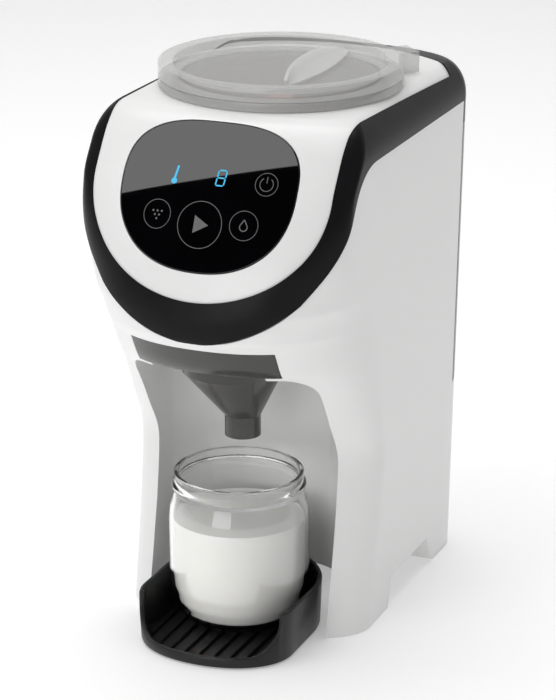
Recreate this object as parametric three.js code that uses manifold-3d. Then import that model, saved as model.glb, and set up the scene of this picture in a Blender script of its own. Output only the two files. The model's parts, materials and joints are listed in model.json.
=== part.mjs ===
// Countertop formula dispenser: a powder hopper, a rear water tank and a mixing funnel
// in one housing, with a bottle bay, a drip tray and a jar of mixed formula.
// Millimetres, +Z up, front towards -Y. The hopper's axis is the modelling axis, and the
// finished group is shifted along Y so that its origin is the centre of its base.

import * as THREE from 'three';
import { mergeVertices } from 'three/addons/utils/BufferGeometryUtils.js';
import Module from 'manifold-3d';

const wasm = await Module();
wasm.setup();

// ---------------------------------------------------------------- driving dimensions

const GAP = 0.3; // clearance between neighbouring pieces
const WALL = 3; // moulded wall
const FAR = 400; // longer than the object, for cutting solids

const AXIS_Y = 0.8; // the hopper's axis, measured from the centre of the base
const HALF_WIDTH_AT_FLOOR = 69.1;
const SIDE_LEAN = 0.02; // the sides lean out by this much for each millimetre of height
const TOP_Z = 287.6; // flat top of the housing
const SHOULDER_Z = 268; // the side walls start to round over here
const SHOULDER_DEPTH = 15; // how far they round in by the top
const REAR_CORNER_Y = 80; // the sides start to curve round to the rear here
const REAR_Y = 118.5;
const REAR_POWER = 2.25; // exponent of the rounded rear outline

// Front of the body: height, y at the centre line, y where the side starts to curve, and the
// exponent of the rounded front.
const FRONT_STATIONS = [
  [0.8, -72.5, -38.5, 2.25],
  [40, -63.5, -31, 2.25],
  [96, -55, -22.6, 2.25],
  [123, -70, -30, 2.25],
  [146, -88, -35, 2.25],
  [160, -105, -36.5, 2.2],
  [174, -113.5, -40, 2.25],
  [181, -118.3, -41, 2.35],
  [189, -119.3, -46, 2.45],
  [197, -118.6, -55, 2.6],
  [215, -114.4, -72, 2.6],
  [239, -105.9, -85, 2.25],
  [252, -99, -83.5, 2.25],
  [269, -89, -72, 2.25],
  [284.5, -76.6, -58, 2.25],
  [TOP_Z, -66, -50, 2.25],
];
const OUTLINE_POINTS = 32; // round the body

// The face is a plane that leans back, set out from the hopper's axis.
const FACE_TILT = THREE.MathUtils.degToRad(27.3);
const FACE_DISTANCE = 202.4;
const FACE_CENTRE = 178.6; // distance up the face from the frame's origin to the panel's centre
const FACE_HALF_WIDTH = 65.7;
const FACE_DROP = 59; // from the widest line down to the lowest point of the white face
const FACE_WIDEST = 5; // height of the widest line above the panel's centre
const TOP_REAR_HALF_WIDTH = 70.5; // the white top widens towards its rear arc
const TOP_REAR_RISE = 103;
const TOP_ARC_R = 98.5; // rear edge of the white top, about the hopper's axis

const PANEL_HALF_WIDTH = 48;
const PANEL_RISE = 34.4;
const PANEL_FALL = 44.4;
const PANEL_FALL_POWER = 2.27;
const PANEL_RISE_POWER = 2.85;
const PANEL_THICKNESS = 1.6;
const PANEL_LEDGE = 6; // width of the seat that the panel rests on
const TOUCH_PADS = [['power', 31.5, 9.3], ['left', -24, -12.5], ['start', 0, -15], ['right', 24, -12.5]];

const BAND_SETBACK = 15.5; // the band's lower edge lies this far behind the face plane
const BAND_HALF_WIDTH = 76; // the band's outline round the face, looking square onto it
const BAND_DROP = 79;
const BAND_POWER = 1.9;
const BAND_SIDE_Z = 266.6; // lower edge of the band along the sides
const BAND_BEND_R = 33;
const BAND_PROUD = 0.8;
const BELOW_CHIN_Z = 100; // a height well below the band

const BAY_HALF_WIDTH = 52.4;
const BAY_BACK_Y = -8;
const BAY_TOP_Z = 156;
const BAY_CORNER_R = 14;
const BAY_BACK_R = 34;

const FOOT_TOP_Z = 18.6;
const FLOOR_TOP_Z = 22;
const NOTCH_FRONT_Y = -8; // the notch between the feet, at its top
const NOTCH_REAR_Y = 48;
const NOTCH_FRONT_SPLAY = 5; // how much wider the notch is at the floor
const NOTCH_REAR_SPLAY = 13;
const REAR_SKIRT_Y = 100;
const FOOT_R = 6;
const FOOT_RECESS_Z = 3;
const FOOT_X = 60.5;
const FRONT_FOOT_Y = -38;
const REAR_FOOT_Y = 78;
const MACHINERY_HATCH = [40, 0, 50]; // half width, front y, rear y
const REAR_HATCH = [34, 64, 96];
const SCREW_X = 36;
const SCREW_FRONT_Y = 4;
const SCREW_REAR_Y = 46;
const SCREW_R = 1.5;

const TANK_WALL_Y = 58.6; // rear face of the machinery space
const TANK_EDGE_Y = 82.2; // rear edge of the housing's side walls beside the tank
const TANK_FLOOR_Z = 101.6; // tank underside at the side walls' rear edge
const TANK_FLOOR_SLOPE = THREE.MathUtils.degToRad(15);
const TANK_TOP_Z = 253.7;
const TANK_NEST_HALF_WIDTH = 69;
const TANK_WALL = 2.4;
const MOUTH_HALF = 45; // half width of the tank's filling mouth
const REAR_SPACE_TOP_Z = 88;
const PORT_X = 30; // the tank's outlet into the machinery space
const PORT_Z = 104;
const PORT_R = 4;
const PORT_PLAY = 2; // the outlet rises this much as the tank comes out
const PUMP_X = 30;
const PUMP_Z = 42;
const PUMP_R = 12;
const HEATER_X = -28;
const HEATER_Y = 28;
const HEATER_Z = 56;
const HEATER_TOP_Z = 120;
const HEATER_R = 12;
const HOSE_R = 2.6;
const NOZZLE_X = 20;
const NOZZLE_Y = -66;
const NOZZLE_R = 4.5;
const GLAND_Z = 40;
const GLAND_R = 5.5;
const CORD_R = 3.2;

const DRAWER_HALF_WIDTH = 40;
const DRAWER_Z = 158.2;
const DRAWER_TOP_Z = 174;
const DRAWER_BACK_Y = -26;
const SPOUT_Y = -52.4;
const SPOUT_R = 9.7;
const SPOUT_BOTTOM_Z = 107.5;
const SPOUT_TOP_Z = 119;
const FUNNEL_RIM_Y = -65.2; // the cone's upper edge
const FUNNEL_RIM_R = 27.2;
const FUNNEL_RIM_Z = 149;
const FUNNEL_Y = -64.5; // centre of the funnel's mouth
const FUNNEL_R = 31;
const FUNNEL_WALL = 1.6;
const SKIRT_FRONT_Y = -90; // the front ends of the funnel's side skirts

const HOPPER_R = 56.5;
const HOPPER_BOTTOM_Z = 219;
const COLLAR_Z = 288;
const RIM_R = 65.1;
const LID_Z = 292.9;
const LID_TOP_Z = 300.7;
const LID_RING_WIDTH = 8;
const OUTLET_Y = -45; // powder outlet, from the hopper's axis
const OUTLET_R = 7;
const SEAT_R = 58.2;
const CHUTE_Y = -46;
const CHUTE_R = 11;
const POCKETS = 6;
const SHAFT_R = 4;
const GRIP_X = 10; // where the lid's finger grip crosses the lid
const GRIP_REACH = 34;
const TAB_ANGLE = 44.3; // the lid's tab, in degrees from +X
const TAB_HALF = 8.3;
const TAB_REACH = 76.5;

const JAR_Y = -58;
const JAR_R = 38;
const JAR_BOTTOM_Z = 3.8;
const JAR_RIM_Z = 88.9;
const MILK_Z = 64;

const TRAY_X = 1; // the tray stands slightly to the right in the bay
const TRAY_HALF_WIDTH = 43;
const TRAY_FRONT_Y = -119.5;
const TRAY_WALL_Z = 28;
const TRAY_LIP_Z = 6.6;
const TRAY_FLOOR_Z = 2.6;
const TRAY_BACK_POWER = 2; // exponents of the rounded back and front
const TRAY_FRONT_POWER = 2.1;
const TRAY_CORNER_Y = -88; // the sides start to curve round to the front here
const TRAY_CUT_TOP = 42; // half width of the front cut-out at the rim, and along the lip
const TRAY_CUT_LIP = 27;
const TRAY_RIBS = 9;
const TRAY_RIB_PITCH = 8.5;

const GEAR_MODULE = 1.5;
const GEAR_TEETH = 32;
const PINION_TEETH = 10;
const TOOTH = [[-1.6, -0.31], [1.2, -0.1], [1.2, 0.1], [-1.6, 0.31]]; // rise past the pitch, share of a step
const GEAR_Z = 190;
const GEAR_THICKNESS = 6;

// ---------------------------------------------------------------- materials

function material(color, roughness, metalness = 0) {
  return new THREE.MeshStandardMaterial({ color, roughness, metalness });
}

const whitePlastic = () => material(0xf2f2f0, 0.35);
const blackPlastic = () => material(0x151516, 0.3);
const smokePlastic = () => material(0x55554f, 0.2);
const clearPlastic = () => material(0xd9d9d6, 0.12);
const peachPlastic = () => material(0xf0a98c, 0.4);
const greyPlastic = () => material(0x8b8d90, 0.55);
const panelGlass = () => material(0x050506, 0.08);
const jarGlass = () => material(0xdfe3e2, 0.05);
const milk = () => material(0xf4f1e6, 0.4);
const rubber = () => material(0x232323, 0.9);
const steel = () => material(0xb8babd, 0.35, 1);
const copper = () => material(0xb87344, 0.35, 1);
const circuit = () => material(0x1f5a34, 0.6);

// ---------------------------------------------------------------- solids

function solid(geometry) {
  const bare = geometry.clone();
  bare.deleteAttribute('normal');
  bare.deleteAttribute('uv');
  const merged = mergeVertices(bare, 1e-4);
  return new wasm.Manifold(new wasm.Mesh({
    numProp: 3,
    vertProperties: new Float32Array(merged.attributes.position.array),
    triVerts: new Uint32Array(merged.index.array),
  }));
}

function toGeometry(manifold) {
  const mesh = manifold.getMesh();
  const geometry = new THREE.BufferGeometry();
  geometry.setAttribute('position', new THREE.BufferAttribute(mesh.vertProperties, 3));
  geometry.setIndex(new THREE.BufferAttribute(mesh.triVerts, 1));
  geometry.computeVertexNormals();
  return geometry;
}

function cut(base, ...tools) {
  return tools.reduce((shape, tool) => shape.subtract(tool), base);
}

function join(base, ...others) {
  return others.reduce((shape, other) => shape.add(other), base);
}

function box(x0, x1, y0, y1, z0, z1) {
  const geometry = new THREE.BoxGeometry(x1 - x0, y1 - y0, z1 - z0);
  geometry.translate((x0 + x1) / 2, (y0 + y1) / 2, (z0 + z1) / 2);
  return solid(geometry);
}

function cylinder(r, z0, z1, x = 0, y = 0, segments = 24) {
  const geometry = new THREE.CylinderGeometry(r, r, z1 - z0, segments);
  geometry.rotateX(Math.PI / 2);
  geometry.translate(x, y, (z0 + z1) / 2);
  return solid(geometry);
}

function cylinderAlongY(r, y0, y1, x, z, segments = 24) {
  const geometry = new THREE.CylinderGeometry(r, r, y1 - y0, segments);
  geometry.translate(x, (y0 + y1) / 2, z);
  return solid(geometry);
}

// A solid turned about the z axis from [radius, z] points.
function turned(points, x = 0, y = 0, segments = 32) {
  const profile = points.map(([r, z]) => new THREE.Vector2(r, z));
  const geometry = new THREE.LatheGeometry(profile, segments);
  geometry.rotateX(Math.PI / 2);
  geometry.translate(x, y, 0);
  return solid(geometry);
}

function extruded(shape, depth, basis, offset) {
  const geometry = new THREE.ExtrudeGeometry(shape, { depth, bevelEnabled: false, curveSegments: 6 });
  geometry.applyMatrix4(basis);
  geometry.translate(offset.x, offset.y, offset.z);
  return solid(geometry);
}

const X = new THREE.Vector3(1, 0, 0);
const Y = new THREE.Vector3(0, 1, 0);
const Z = new THREE.Vector3(0, 0, 1);
const UP_FACE = new THREE.Vector3(0, Math.sin(FACE_TILT), Math.cos(FACE_TILT));
const OUT_OF_FACE = new THREE.Vector3(0, -Math.cos(FACE_TILT), Math.sin(FACE_TILT));

function plan(shape, z0, z1) {
  return extruded(shape, z1 - z0, new THREE.Matrix4(), new THREE.Vector3(0, 0, z0));
}

// A shape drawn in (y, z), extruded along x.
function sideways(shape, x0, x1) {
  const basis = new THREE.Matrix4().makeBasis(Y, Z, X);
  return extruded(shape, x1 - x0, basis, new THREE.Vector3(x0, 0, 0));
}

// A shape drawn in (x, z), extruded towards -y from y1 to y0.
function forwards(shape, y0, y1) {
  const basis = new THREE.Matrix4().makeBasis(X, Z, Y.clone().negate());
  return extruded(shape, y1 - y0, basis, new THREE.Vector3(0, y1, 0));
}

// A shape drawn on the face, x across and v up from the panel's centre, extruded out of the
// face between two distances measured from the face plane.
function onFace(shape, from, to) {
  const basis = new THREE.Matrix4().makeBasis(X, UP_FACE, OUT_OF_FACE);
  const origin = UP_FACE.clone().multiplyScalar(FACE_CENTRE);
  origin.addScaledVector(OUT_OF_FACE, FACE_DISTANCE + from);
  return extruded(shape, to - from, basis, origin);
}

function polygon(points) {
  return new THREE.Shape(points.map(([a, b]) => new THREE.Vector2(a, b)));
}

function rectangle(a0, a1, b0, b1) {
  return polygon([[a0, b0], [a1, b0], [a1, b1], [a0, b1]]);
}

// Half of a superellipse, from angle 0 to PI, as [x, rise] pairs.
function arch(halfWidth, rise, power, steps) {
  const points = [];
  for (let i = 0; i <= steps; i += 1) {
    const angle = (Math.PI * i) / steps;
    const across = Math.sign(Math.cos(angle)) * Math.abs(Math.cos(angle)) ** (2 / power);
    points.push([halfWidth * across, rise * Math.sin(angle) ** (2 / power)]);
  }
  return points;
}

// A closed skin over rings that all have the same number of points.
function loft(rings) {
  const count = rings[0].length;
  const positions = rings.flat().flatMap((point) => [point.x, point.y, point.z]);
  const indices = [];
  for (let ring = 0; ring + 1 < rings.length; ring += 1) {
    for (let i = 0; i < count; i += 1) {
      const next = (i + 1) % count;
      const low = ring * count;
      const high = low + count;
      indices.push(low + i, low + next, high + next);
      indices.push(low + i, high + next, high + i);
    }
  }
  for (const [ring, flip] of [[0, true], [rings.length - 1, false]]) {
    const centre = positions.length / 3;
    const middle = new THREE.Vector3();
    rings[ring].forEach((point) => middle.add(point));
    middle.divideScalar(count);
    positions.push(middle.x, middle.y, middle.z);
    for (let i = 0; i < count; i += 1) {
      const a = ring * count + i;
      const b = ring * count + ((i + 1) % count);
      indices.push(centre, flip ? b : a, flip ? a : b);
    }
  }
  const geometry = new THREE.BufferGeometry();
  geometry.setAttribute('position', new THREE.Float32BufferAttribute(positions, 3));
  geometry.setIndex(indices);
  return solid(geometry);
}

function circleRing(r, y, z, count = 28) {
  return Array.from({ length: count }, (_, i) => {
    const angle = (2 * Math.PI * i) / count;
    return new THREE.Vector3(r * Math.cos(angle), y + r * Math.sin(angle), z);
  });
}

// A round bar or hose of radius r along a smooth curve through the points.
function tube(points, r, sides = 8, steps = 16) {
  const curve = new THREE.CatmullRomCurve3(points.map((p) => new THREE.Vector3(...p)));
  const section = new THREE.Shape();
  section.absarc(0, 0, r, 0, 2 * Math.PI);
  const geometry = new THREE.ExtrudeGeometry(section, {
    steps,
    curveSegments: sides / 2,
    extrudePath: curve,
  });
  return solid(geometry);
}

// ---------------------------------------------------------------- body outline

function frontStation(z) {
  const last = FRONT_STATIONS.length - 1;
  let i = 0;
  while (i < last - 1 && z > FRONT_STATIONS[i + 1][0]) {
    i += 1;
  }
  const low = FRONT_STATIONS[i];
  const high = FRONT_STATIONS[i + 1];
  const t = THREE.MathUtils.clamp((z - low[0]) / (high[0] - low[0]), 0, 1);
  return [1, 2, 3].map((column) => THREE.MathUtils.lerp(low[column], high[column], t));
}

// How far the sides and the rear have rounded in at one height.
function shoulder(z) {
  const t = THREE.MathUtils.clamp((z - SHOULDER_Z) / (TOP_Z - SHOULDER_Z), 0, 1);
  return SHOULDER_DEPTH * (1 - Math.sqrt(1 - t * t));
}

// The plan outline of the body at the height z, moved in by inset and laid at the height atZ.
function bodyRing(z, inset, atZ) {
  const moved = shoulder(z) + inset;
  const halfWidth = HALF_WIDTH_AT_FLOOR + SIDE_LEAN * z - moved;
  const [front, corner, power] = frontStation(z);
  const rear = arch(halfWidth, REAR_Y - REAR_CORNER_Y - moved, REAR_POWER, OUTLINE_POINTS / 2);
  const ahead = arch(halfWidth, corner - front - inset, power, OUTLINE_POINTS / 2);
  const ring = rear.map(([x, y]) => new THREE.Vector3(x, REAR_CORNER_Y + y, atZ));
  ahead.reverse();
  ring.push(...ahead.map(([x, y]) => new THREE.Vector3(x, corner - y, atZ)));
  return ring;
}

// The whole body moved in by inset, or out where inset is negative.
function body(inset) {
  const bottom = 0;
  const top = FRONT_STATIONS.length - 1;
  return loft(FRONT_STATIONS.map(([z], i) => {
    if (i === top) {
      return bodyRing(z, inset, z - inset);
    }
    return bodyRing(z, inset, i === bottom ? z - Math.max(inset, 0) : z);
  }));
}

const bodyOuter = body(0);
const bodyInner = body(WALL);

// ---------------------------------------------------------------- dividing surfaces

// The white face and top, looking square onto the face, grown by a margin.
function faceOutline(margin) {
  const half = FACE_HALF_WIDTH + margin;
  const rearHalf = TOP_REAR_HALF_WIDTH + margin;
  const points = arch(half, FACE_DROP + margin, 2, 14).map(([x, drop]) => [-x, FACE_WIDEST - drop]);
  points.push([half, FACE_WIDEST + PANEL_RISE]);
  points.push([rearHalf, TOP_REAR_RISE]);
  points.push([rearHalf, FAR]);
  points.push([-rearHalf, FAR]);
  points.push([-rearHalf, TOP_REAR_RISE]);
  points.push([-half, FACE_WIDEST + PANEL_RISE]);
  return polygon(points);
}

function panelOutline(margin) {
  const half = PANEL_HALF_WIDTH + margin;
  const points = arch(half, PANEL_FALL + margin, PANEL_FALL_POWER, 12)
    .map(([x, drop]) => [-x, FACE_WIDEST - drop]);
  points.push(...arch(half, PANEL_RISE + margin, PANEL_RISE_POWER, 12)
    .slice(1, -1)
    .map(([x, rise]) => [x, FACE_WIDEST + rise]));
  return polygon(points);
}

// Everything in front of and above the band's lower edge, drawn in (y, z).
function bandProfile(shift) {
  const setback = FACE_DISTANCE - BAND_SETBACK + shift;
  const sideZ = BAND_SIDE_Z + shift;
  const lineY = (z) => (z * Math.sin(FACE_TILT) - setback) / Math.cos(FACE_TILT);
  const reach = BAND_BEND_R * Math.tan(Math.PI / 4 - FACE_TILT / 2);
  const bendZ = sideZ - reach * Math.cos(FACE_TILT);
  const shape = new THREE.Shape();
  shape.moveTo(FAR, sideZ);
  shape.lineTo(lineY(sideZ) + reach, sideZ);
  shape.quadraticCurveTo(lineY(sideZ), sideZ, lineY(bendZ), bendZ);
  shape.lineTo(lineY(BELOW_CHIN_Z), BELOW_CHIN_Z);
  shape.lineTo(-FAR, BELOW_CHIN_Z);
  shape.lineTo(-FAR, FAR);
  shape.lineTo(FAR, FAR);
  return shape;
}

// The band round the face, looking square onto it; above the face's widest line it stays open.
function bandOutline(margin) {
  const points = arch(BAND_HALF_WIDTH + margin, BAND_DROP + margin, BAND_POWER, 20)
    .map(([x, drop]) => [-x, FACE_WIDEST - drop]);
  points.push([BAND_HALF_WIDTH + margin, FAR]);
  points.push([-BAND_HALF_WIDTH - margin, FAR]);
  return polygon(points);
}

function topRegion(margin) {
  const reach = cylinder(TOP_ARC_R + margin, 0, FAR, 0, 0, 48);
  const ahead = box(-FAR, FAR, -FAR, 0, 0, FAR);
  return onFace(faceOutline(margin), -FAR, FAR).intersect(join(reach, ahead));
}

const everywhere = box(-FAR, FAR, -FAR, FAR, -FAR, FAR);
const aboveBand = sideways(bandProfile(0), -FAR, FAR).intersect(onFace(bandOutline(0), -FAR, FAR));
const belowBand = everywhere.subtract(
  sideways(bandProfile(-GAP), -FAR, FAR).intersect(onFace(bandOutline(GAP), -FAR, FAR)),
);

// The space of the bottle bay, grown on every side by a margin.
function bay(margin) {
  const half = BAY_HALF_WIDTH + margin;
  const back = BAY_BACK_Y + margin;
  const top = BAY_TOP_Z + margin;
  const backR = BAY_BACK_R;
  const cornerR = BAY_CORNER_R;
  const fromAbove = new THREE.Shape();
  fromAbove.moveTo(-half, -FAR);
  fromAbove.lineTo(half, -FAR);
  fromAbove.absarc(half - backR, back - backR, backR, 0, Math.PI / 2);
  fromAbove.absarc(backR - half, back - backR, backR, Math.PI / 2, Math.PI);
  const fromFront = new THREE.Shape();
  fromFront.moveTo(-half, -FAR);
  fromFront.lineTo(half, -FAR);
  fromFront.absarc(half - cornerR, top - cornerR, cornerR, 0, Math.PI / 2);
  fromFront.absarc(cornerR - half, top - cornerR, cornerR, Math.PI / 2, Math.PI);
  const fromSide = new THREE.Shape();
  fromSide.moveTo(-FAR, -FAR);
  fromSide.lineTo(back, -FAR);
  fromSide.absarc(back - backR, top - backR, backR, 0, Math.PI / 2);
  fromSide.lineTo(-FAR, top);
  return plan(fromAbove, -FAR, FAR)
    .intersect(forwards(fromFront, -FAR, FAR))
    .intersect(sideways(fromSide, -FAR, FAR));
}

// The water tank's space behind the side walls, above its sloping floor.
function tankSpace(margin) {
  const floorAt = (y) => TANK_FLOOR_Z + (y - TANK_EDGE_Y) * Math.tan(TANK_FLOOR_SLOPE) - margin;
  const aboveFloor = (y0, y1) => polygon([[y0, floorAt(y0)], [y1, floorAt(y1)], [y1, FAR], [y0, FAR]]);
  const nestHalf = TANK_NEST_HALF_WIDTH + margin;
  const nest = aboveFloor(TANK_WALL_Y + WALL - margin, TANK_EDGE_Y + 2 * WALL);
  const rear = aboveFloor(TANK_EDGE_Y + GAP - margin, FAR);
  return join(sideways(nest, -nestHalf, nestHalf), sideways(rear, -FAR, FAR));
}

// ---------------------------------------------------------------- housing

function mirrored(x, y) {
  return [[-x, y], [x, y]];
}

const footPlaces = [...mirrored(FOOT_X, FRONT_FOOT_Y), ...mirrored(FOOT_X, REAR_FOOT_Y)];
const screwPlaces = [...mirrored(SCREW_X, SCREW_FRONT_Y), ...mirrored(SCREW_X, SCREW_REAR_Y)];

function sideNotch() {
  return sideways(polygon([
    [NOTCH_FRONT_Y - NOTCH_FRONT_SPLAY, -1], [NOTCH_REAR_Y + NOTCH_REAR_SPLAY, -1],
    [NOTCH_REAR_Y, FOOT_TOP_Z], [NOTCH_FRONT_Y, FOOT_TOP_Z],
  ]), -FAR, FAR);
}

function drawerSlot(margin) {
  const half = DRAWER_HALF_WIDTH + margin;
  const back = DRAWER_BACK_Y + 2 * WALL + margin;
  return box(-half, half, -FAR, back, DRAWER_Z - margin, DRAWER_TOP_Z + margin);
}

// Everything that the base pan, bay liner, drawer frame, rear housing and outer housing make up.
function wholeShell() {
  const machinery = bodyInner
    .intersect(box(-FAR, FAR, -FAR, TANK_WALL_Y, FLOOR_TOP_Z, FAR))
    .subtract(bay(WALL))
    .subtract(drawerSlot(WALL));
  const rearSpace = bodyInner
    .intersect(box(-FAR, FAR, TANK_WALL_Y + WALL, FAR, FLOOR_TOP_Z, REAR_SPACE_TOP_Z));
  const underneath = box(-BAY_HALF_WIDTH, BAY_HALF_WIDTH, -FAR, REAR_SKIRT_Y, -1, FOOT_TOP_Z);
  const funnelPath = box(-FUNNEL_R - 1, FUNNEL_R + 1, -FAR, FUNNEL_Y + FUNNEL_R + 2,
    BAY_TOP_Z - 2 * WALL, DRAWER_Z + 1);
  const shell = cut(bodyOuter.intersect(belowBand), machinery, rearSpace, underneath, sideNotch(),
    bay(0), tankSpace(GAP), drawerSlot(GAP), funnelPath,
    hatch(MACHINERY_HATCH, GAP), hatch(REAR_HATCH, GAP));
  const slotRoof = [DRAWER_TOP_Z - 1, DRAWER_TOP_Z + 2 * WALL];
  return cut(shell,
    cylinder(CHUTE_R + 2, ...slotRoof, 0, CHUTE_Y),
    cylinder(NOZZLE_R + 0.5, ...slotRoof, NOZZLE_X, NOZZLE_Y),
    cylinderAlongY(PORT_R + PORT_PLAY, TANK_WALL_Y - WALL, TANK_WALL_Y + 2 * WALL, PORT_X, PORT_Z),
    cylinderAlongY(GLAND_R + GAP, REAR_Y - 4 * WALL, REAR_Y + WALL, 0, GLAND_Z),
    ...footPlaces.map(([x, y]) => cylinder(FOOT_R + GAP, 0, FOOT_RECESS_Z, x, y)));
}

// The separate mouldings of the shell, from their dividing planes and surfaces.
function shellParts() {
  const whole = wholeShell();
  const abovePan = whole.intersect(box(-FAR, FAR, -FAR, FAR, FLOOR_TOP_Z + GAP, FAR));
  const ahead = abovePan.intersect(box(-FAR, FAR, -FAR, TANK_WALL_Y - GAP, 0, FAR));
  return {
    base_pan: whole.intersect(box(-FAR, FAR, -FAR, FAR, 0, FLOOR_TOP_Z)),
    rear_housing: abovePan.intersect(box(-FAR, FAR, TANK_WALL_Y, FAR, 0, FAR)),
    drawer_frame: ahead.intersect(drawerSlot(WALL)),
    bay_liner: ahead.intersect(bay(WALL)).subtract(drawerSlot(WALL + GAP)),
    housing: cut(ahead, bay(WALL + GAP), drawerSlot(WALL + GAP)),
  };
}

// A flat hatch through the floor, from [half width, front y, rear y].
function hatch([half, front, rear], margin) {
  return box(-half - margin, half + margin, front - margin, rear + margin,
    FOOT_TOP_Z - (margin > 0 ? WALL : 0), FLOOR_TOP_Z - 0.5 + (margin > 0 ? WALL : 0));
}

function bezelBand() {
  const proud = body(-BAND_PROUD).intersect(box(-FAR, FAR, -FAR, TANK_EDGE_Y, 0, TOP_Z));
  return cut(proud.intersect(aboveBand), bodyInner, topRegion(GAP));
}

function topCover() {
  const faceOnly = box(-FAR, FAR, -FAR, -HOPPER_R, 0, FAR);
  const seat = onFace(panelOutline(GAP), -FAR, FAR).subtract(body(PANEL_THICKNESS + GAP));
  const window = onFace(panelOutline(-PANEL_LEDGE), -4 * WALL, 4 * WALL);
  return cut(bodyOuter.intersect(topRegion(0)).intersect(aboveBand), bodyInner,
    seat.intersect(faceOnly), window, cylinder(HOPPER_R + 1.2, SHOULDER_Z, FAR, 0, 0, 32));
}

function controlPanel() {
  const faceOnly = box(-FAR, FAR, -FAR, -HOPPER_R, 0, FAR);
  return bodyOuter.intersect(onFace(panelOutline(0), -FAR, FAR)).intersect(faceOnly)
    .subtract(body(PANEL_THICKNESS));
}

// A piece on the face that runs behind it between two depths.
function behindFace(shape, front, back) {
  return onFace(shape, -back, -front);
}

function disc(r, x, y) {
  const shape = new THREE.Shape();
  shape.absarc(x, y, r, 0, 2 * Math.PI);
  return shape;
}

function cordGland() {
  const front = REAR_Y - 3.5 * WALL;
  return join(cylinderAlongY(GLAND_R, front, REAR_Y - 0.5, 0, GLAND_Z),
    cylinderAlongY(GLAND_R + 3, front, REAR_Y - WALL - 1.5, 0, GLAND_Z))
    .subtract(cylinderAlongY(CORD_R, front - 1, REAR_Y + 1, 0, GLAND_Z));
}

function baseScrew(x, y) {
  const plateBottom = FOOT_TOP_Z;
  return join(cylinder(SCREW_R, plateBottom - 1, FLOOR_TOP_Z + 3, x, y, 16),
    cylinder(2 * SCREW_R, plateBottom - 2, plateBottom - GAP, x, y, 20));
}

function machineryPlate() {
  return cut(hatch(MACHINERY_HATCH, 0),
    ...screwPlaces.map(([x, y]) => cylinder(SCREW_R + GAP, 0, FAR, x, y, 16)));
}

// ---------------------------------------------------------------- powder side

function hopper() {
  const inner = HOPPER_R - 2.2;
  const profile = [
    [SHAFT_R + 2, HOPPER_BOTTOM_Z], [HOPPER_R - 3.5, HOPPER_BOTTOM_Z], [HOPPER_R, HOPPER_BOTTOM_Z + 7],
    [HOPPER_R, COLLAR_Z], [RIM_R, COLLAR_Z], [RIM_R, LID_Z - GAP], [inner, LID_Z - GAP],
    [inner, HOPPER_BOTTOM_Z + 7.5], [HOPPER_R - 4.5, HOPPER_BOTTOM_Z + 2.5],
    [SHAFT_R + 2, HOPPER_BOTTOM_Z + 2.5], [SHAFT_R + 2, HOPPER_BOTTOM_Z],
  ];
  return turned(profile).subtract(cylinder(OUTLET_R, 0, HOPPER_BOTTOM_Z + 5, 0, OUTLET_Y));
}

function hopperLid() {
  const recess = RIM_R - LID_RING_WIDTH;
  const floor = LID_TOP_Z - 5.5;
  const skirt = HOPPER_R - 2.7;
  const lid = turned([
    [0, LID_Z], [skirt - 2.2, LID_Z], [skirt - 2.2, LID_Z - 6], [skirt, LID_Z - 6], [skirt, LID_Z],
    [RIM_R, LID_Z], [RIM_R, LID_TOP_Z], [recess, LID_TOP_Z], [recess - 0.8, floor], [0, floor],
  ]);
  const grip = new THREE.Shape();
  grip.moveTo(GRIP_X + 6, -GRIP_REACH);
  grip.quadraticCurveTo(GRIP_X - 6, 0, GRIP_X + 3, RIM_R - LID_RING_WIDTH / 2);
  grip.lineTo(GRIP_X + 5.2, RIM_R - LID_RING_WIDTH / 2);
  grip.quadraticCurveTo(GRIP_X - 3.8, 0, GRIP_X + 8.2, -GRIP_REACH);
  const tab = join(box(RIM_R - 2, TAB_REACH, -TAB_HALF, TAB_HALF, LID_Z + GAP, LID_TOP_Z - 1),
    box(RIM_R + 1, TAB_REACH, -TAB_HALF, TAB_HALF, COLLAR_Z + 0.6, LID_TOP_Z - 1));
  return join(lid, plan(grip, floor - 0.5, LID_TOP_Z - 0.8), tab.rotate([0, 0, TAB_ANGLE]));
}

function doser() {
  const bottom = HOPPER_BOTTOM_Z + 3;
  const pockets = Array.from({ length: POCKETS }, (_, i) => {
    const angle = (2 * Math.PI * i) / POCKETS - Math.PI / 2;
    return cylinder(OUTLET_R - 1, 0, FAR, -OUTLET_Y * Math.cos(angle), -OUTLET_Y * Math.sin(angle), 12);
  });
  const socket = cylinder(SHAFT_R + GAP, 0, bottom + 4, 0, 0, 24);
  return cut(turned([[0, bottom], [51, bottom], [51, bottom + 5], [0, bottom + 5]]), socket, ...pockets);
}

function stirrer() {
  const bottom = HOPPER_BOTTOM_Z + 8.5;
  const top = LID_Z - 12;
  const blade = forwards(polygon([
    [0, bottom], [48, bottom], [48, bottom + 9], [34, bottom + 34], [7, top], [0, top],
  ]), -1.1, 1.1);
  const hub = cylinder(7, bottom, top, 0, 0, 28);
  const quarterTurns = [0, 1, 2, 3].map((turn) => blade.rotate([0, 0, 45 + 90 * turn]));
  return join(hub, ...quarterTurns);
}

// A spur gear with straight-sided teeth. A gap of the pinion faces a tooth of the gear.
function gear(teeth, y) {
  const pitch = (GEAR_MODULE * teeth) / 2;
  const points = [];
  const step = (2 * Math.PI) / teeth;
  for (let i = 0; i < teeth; i += 1) {
    for (const [rise, share] of TOOTH) {
      const angle = (i + share) * step;
      points.push([(pitch + rise) * Math.cos(angle), (pitch + rise) * Math.sin(angle)]);
    }
  }
  return plan(polygon(points), GEAR_Z, GEAR_Z + GEAR_THICKNESS).translate([0, y, 0]);
}

const MOTOR_Y = (GEAR_MODULE * (GEAR_TEETH + PINION_TEETH)) / 2 + 0.3;

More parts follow.
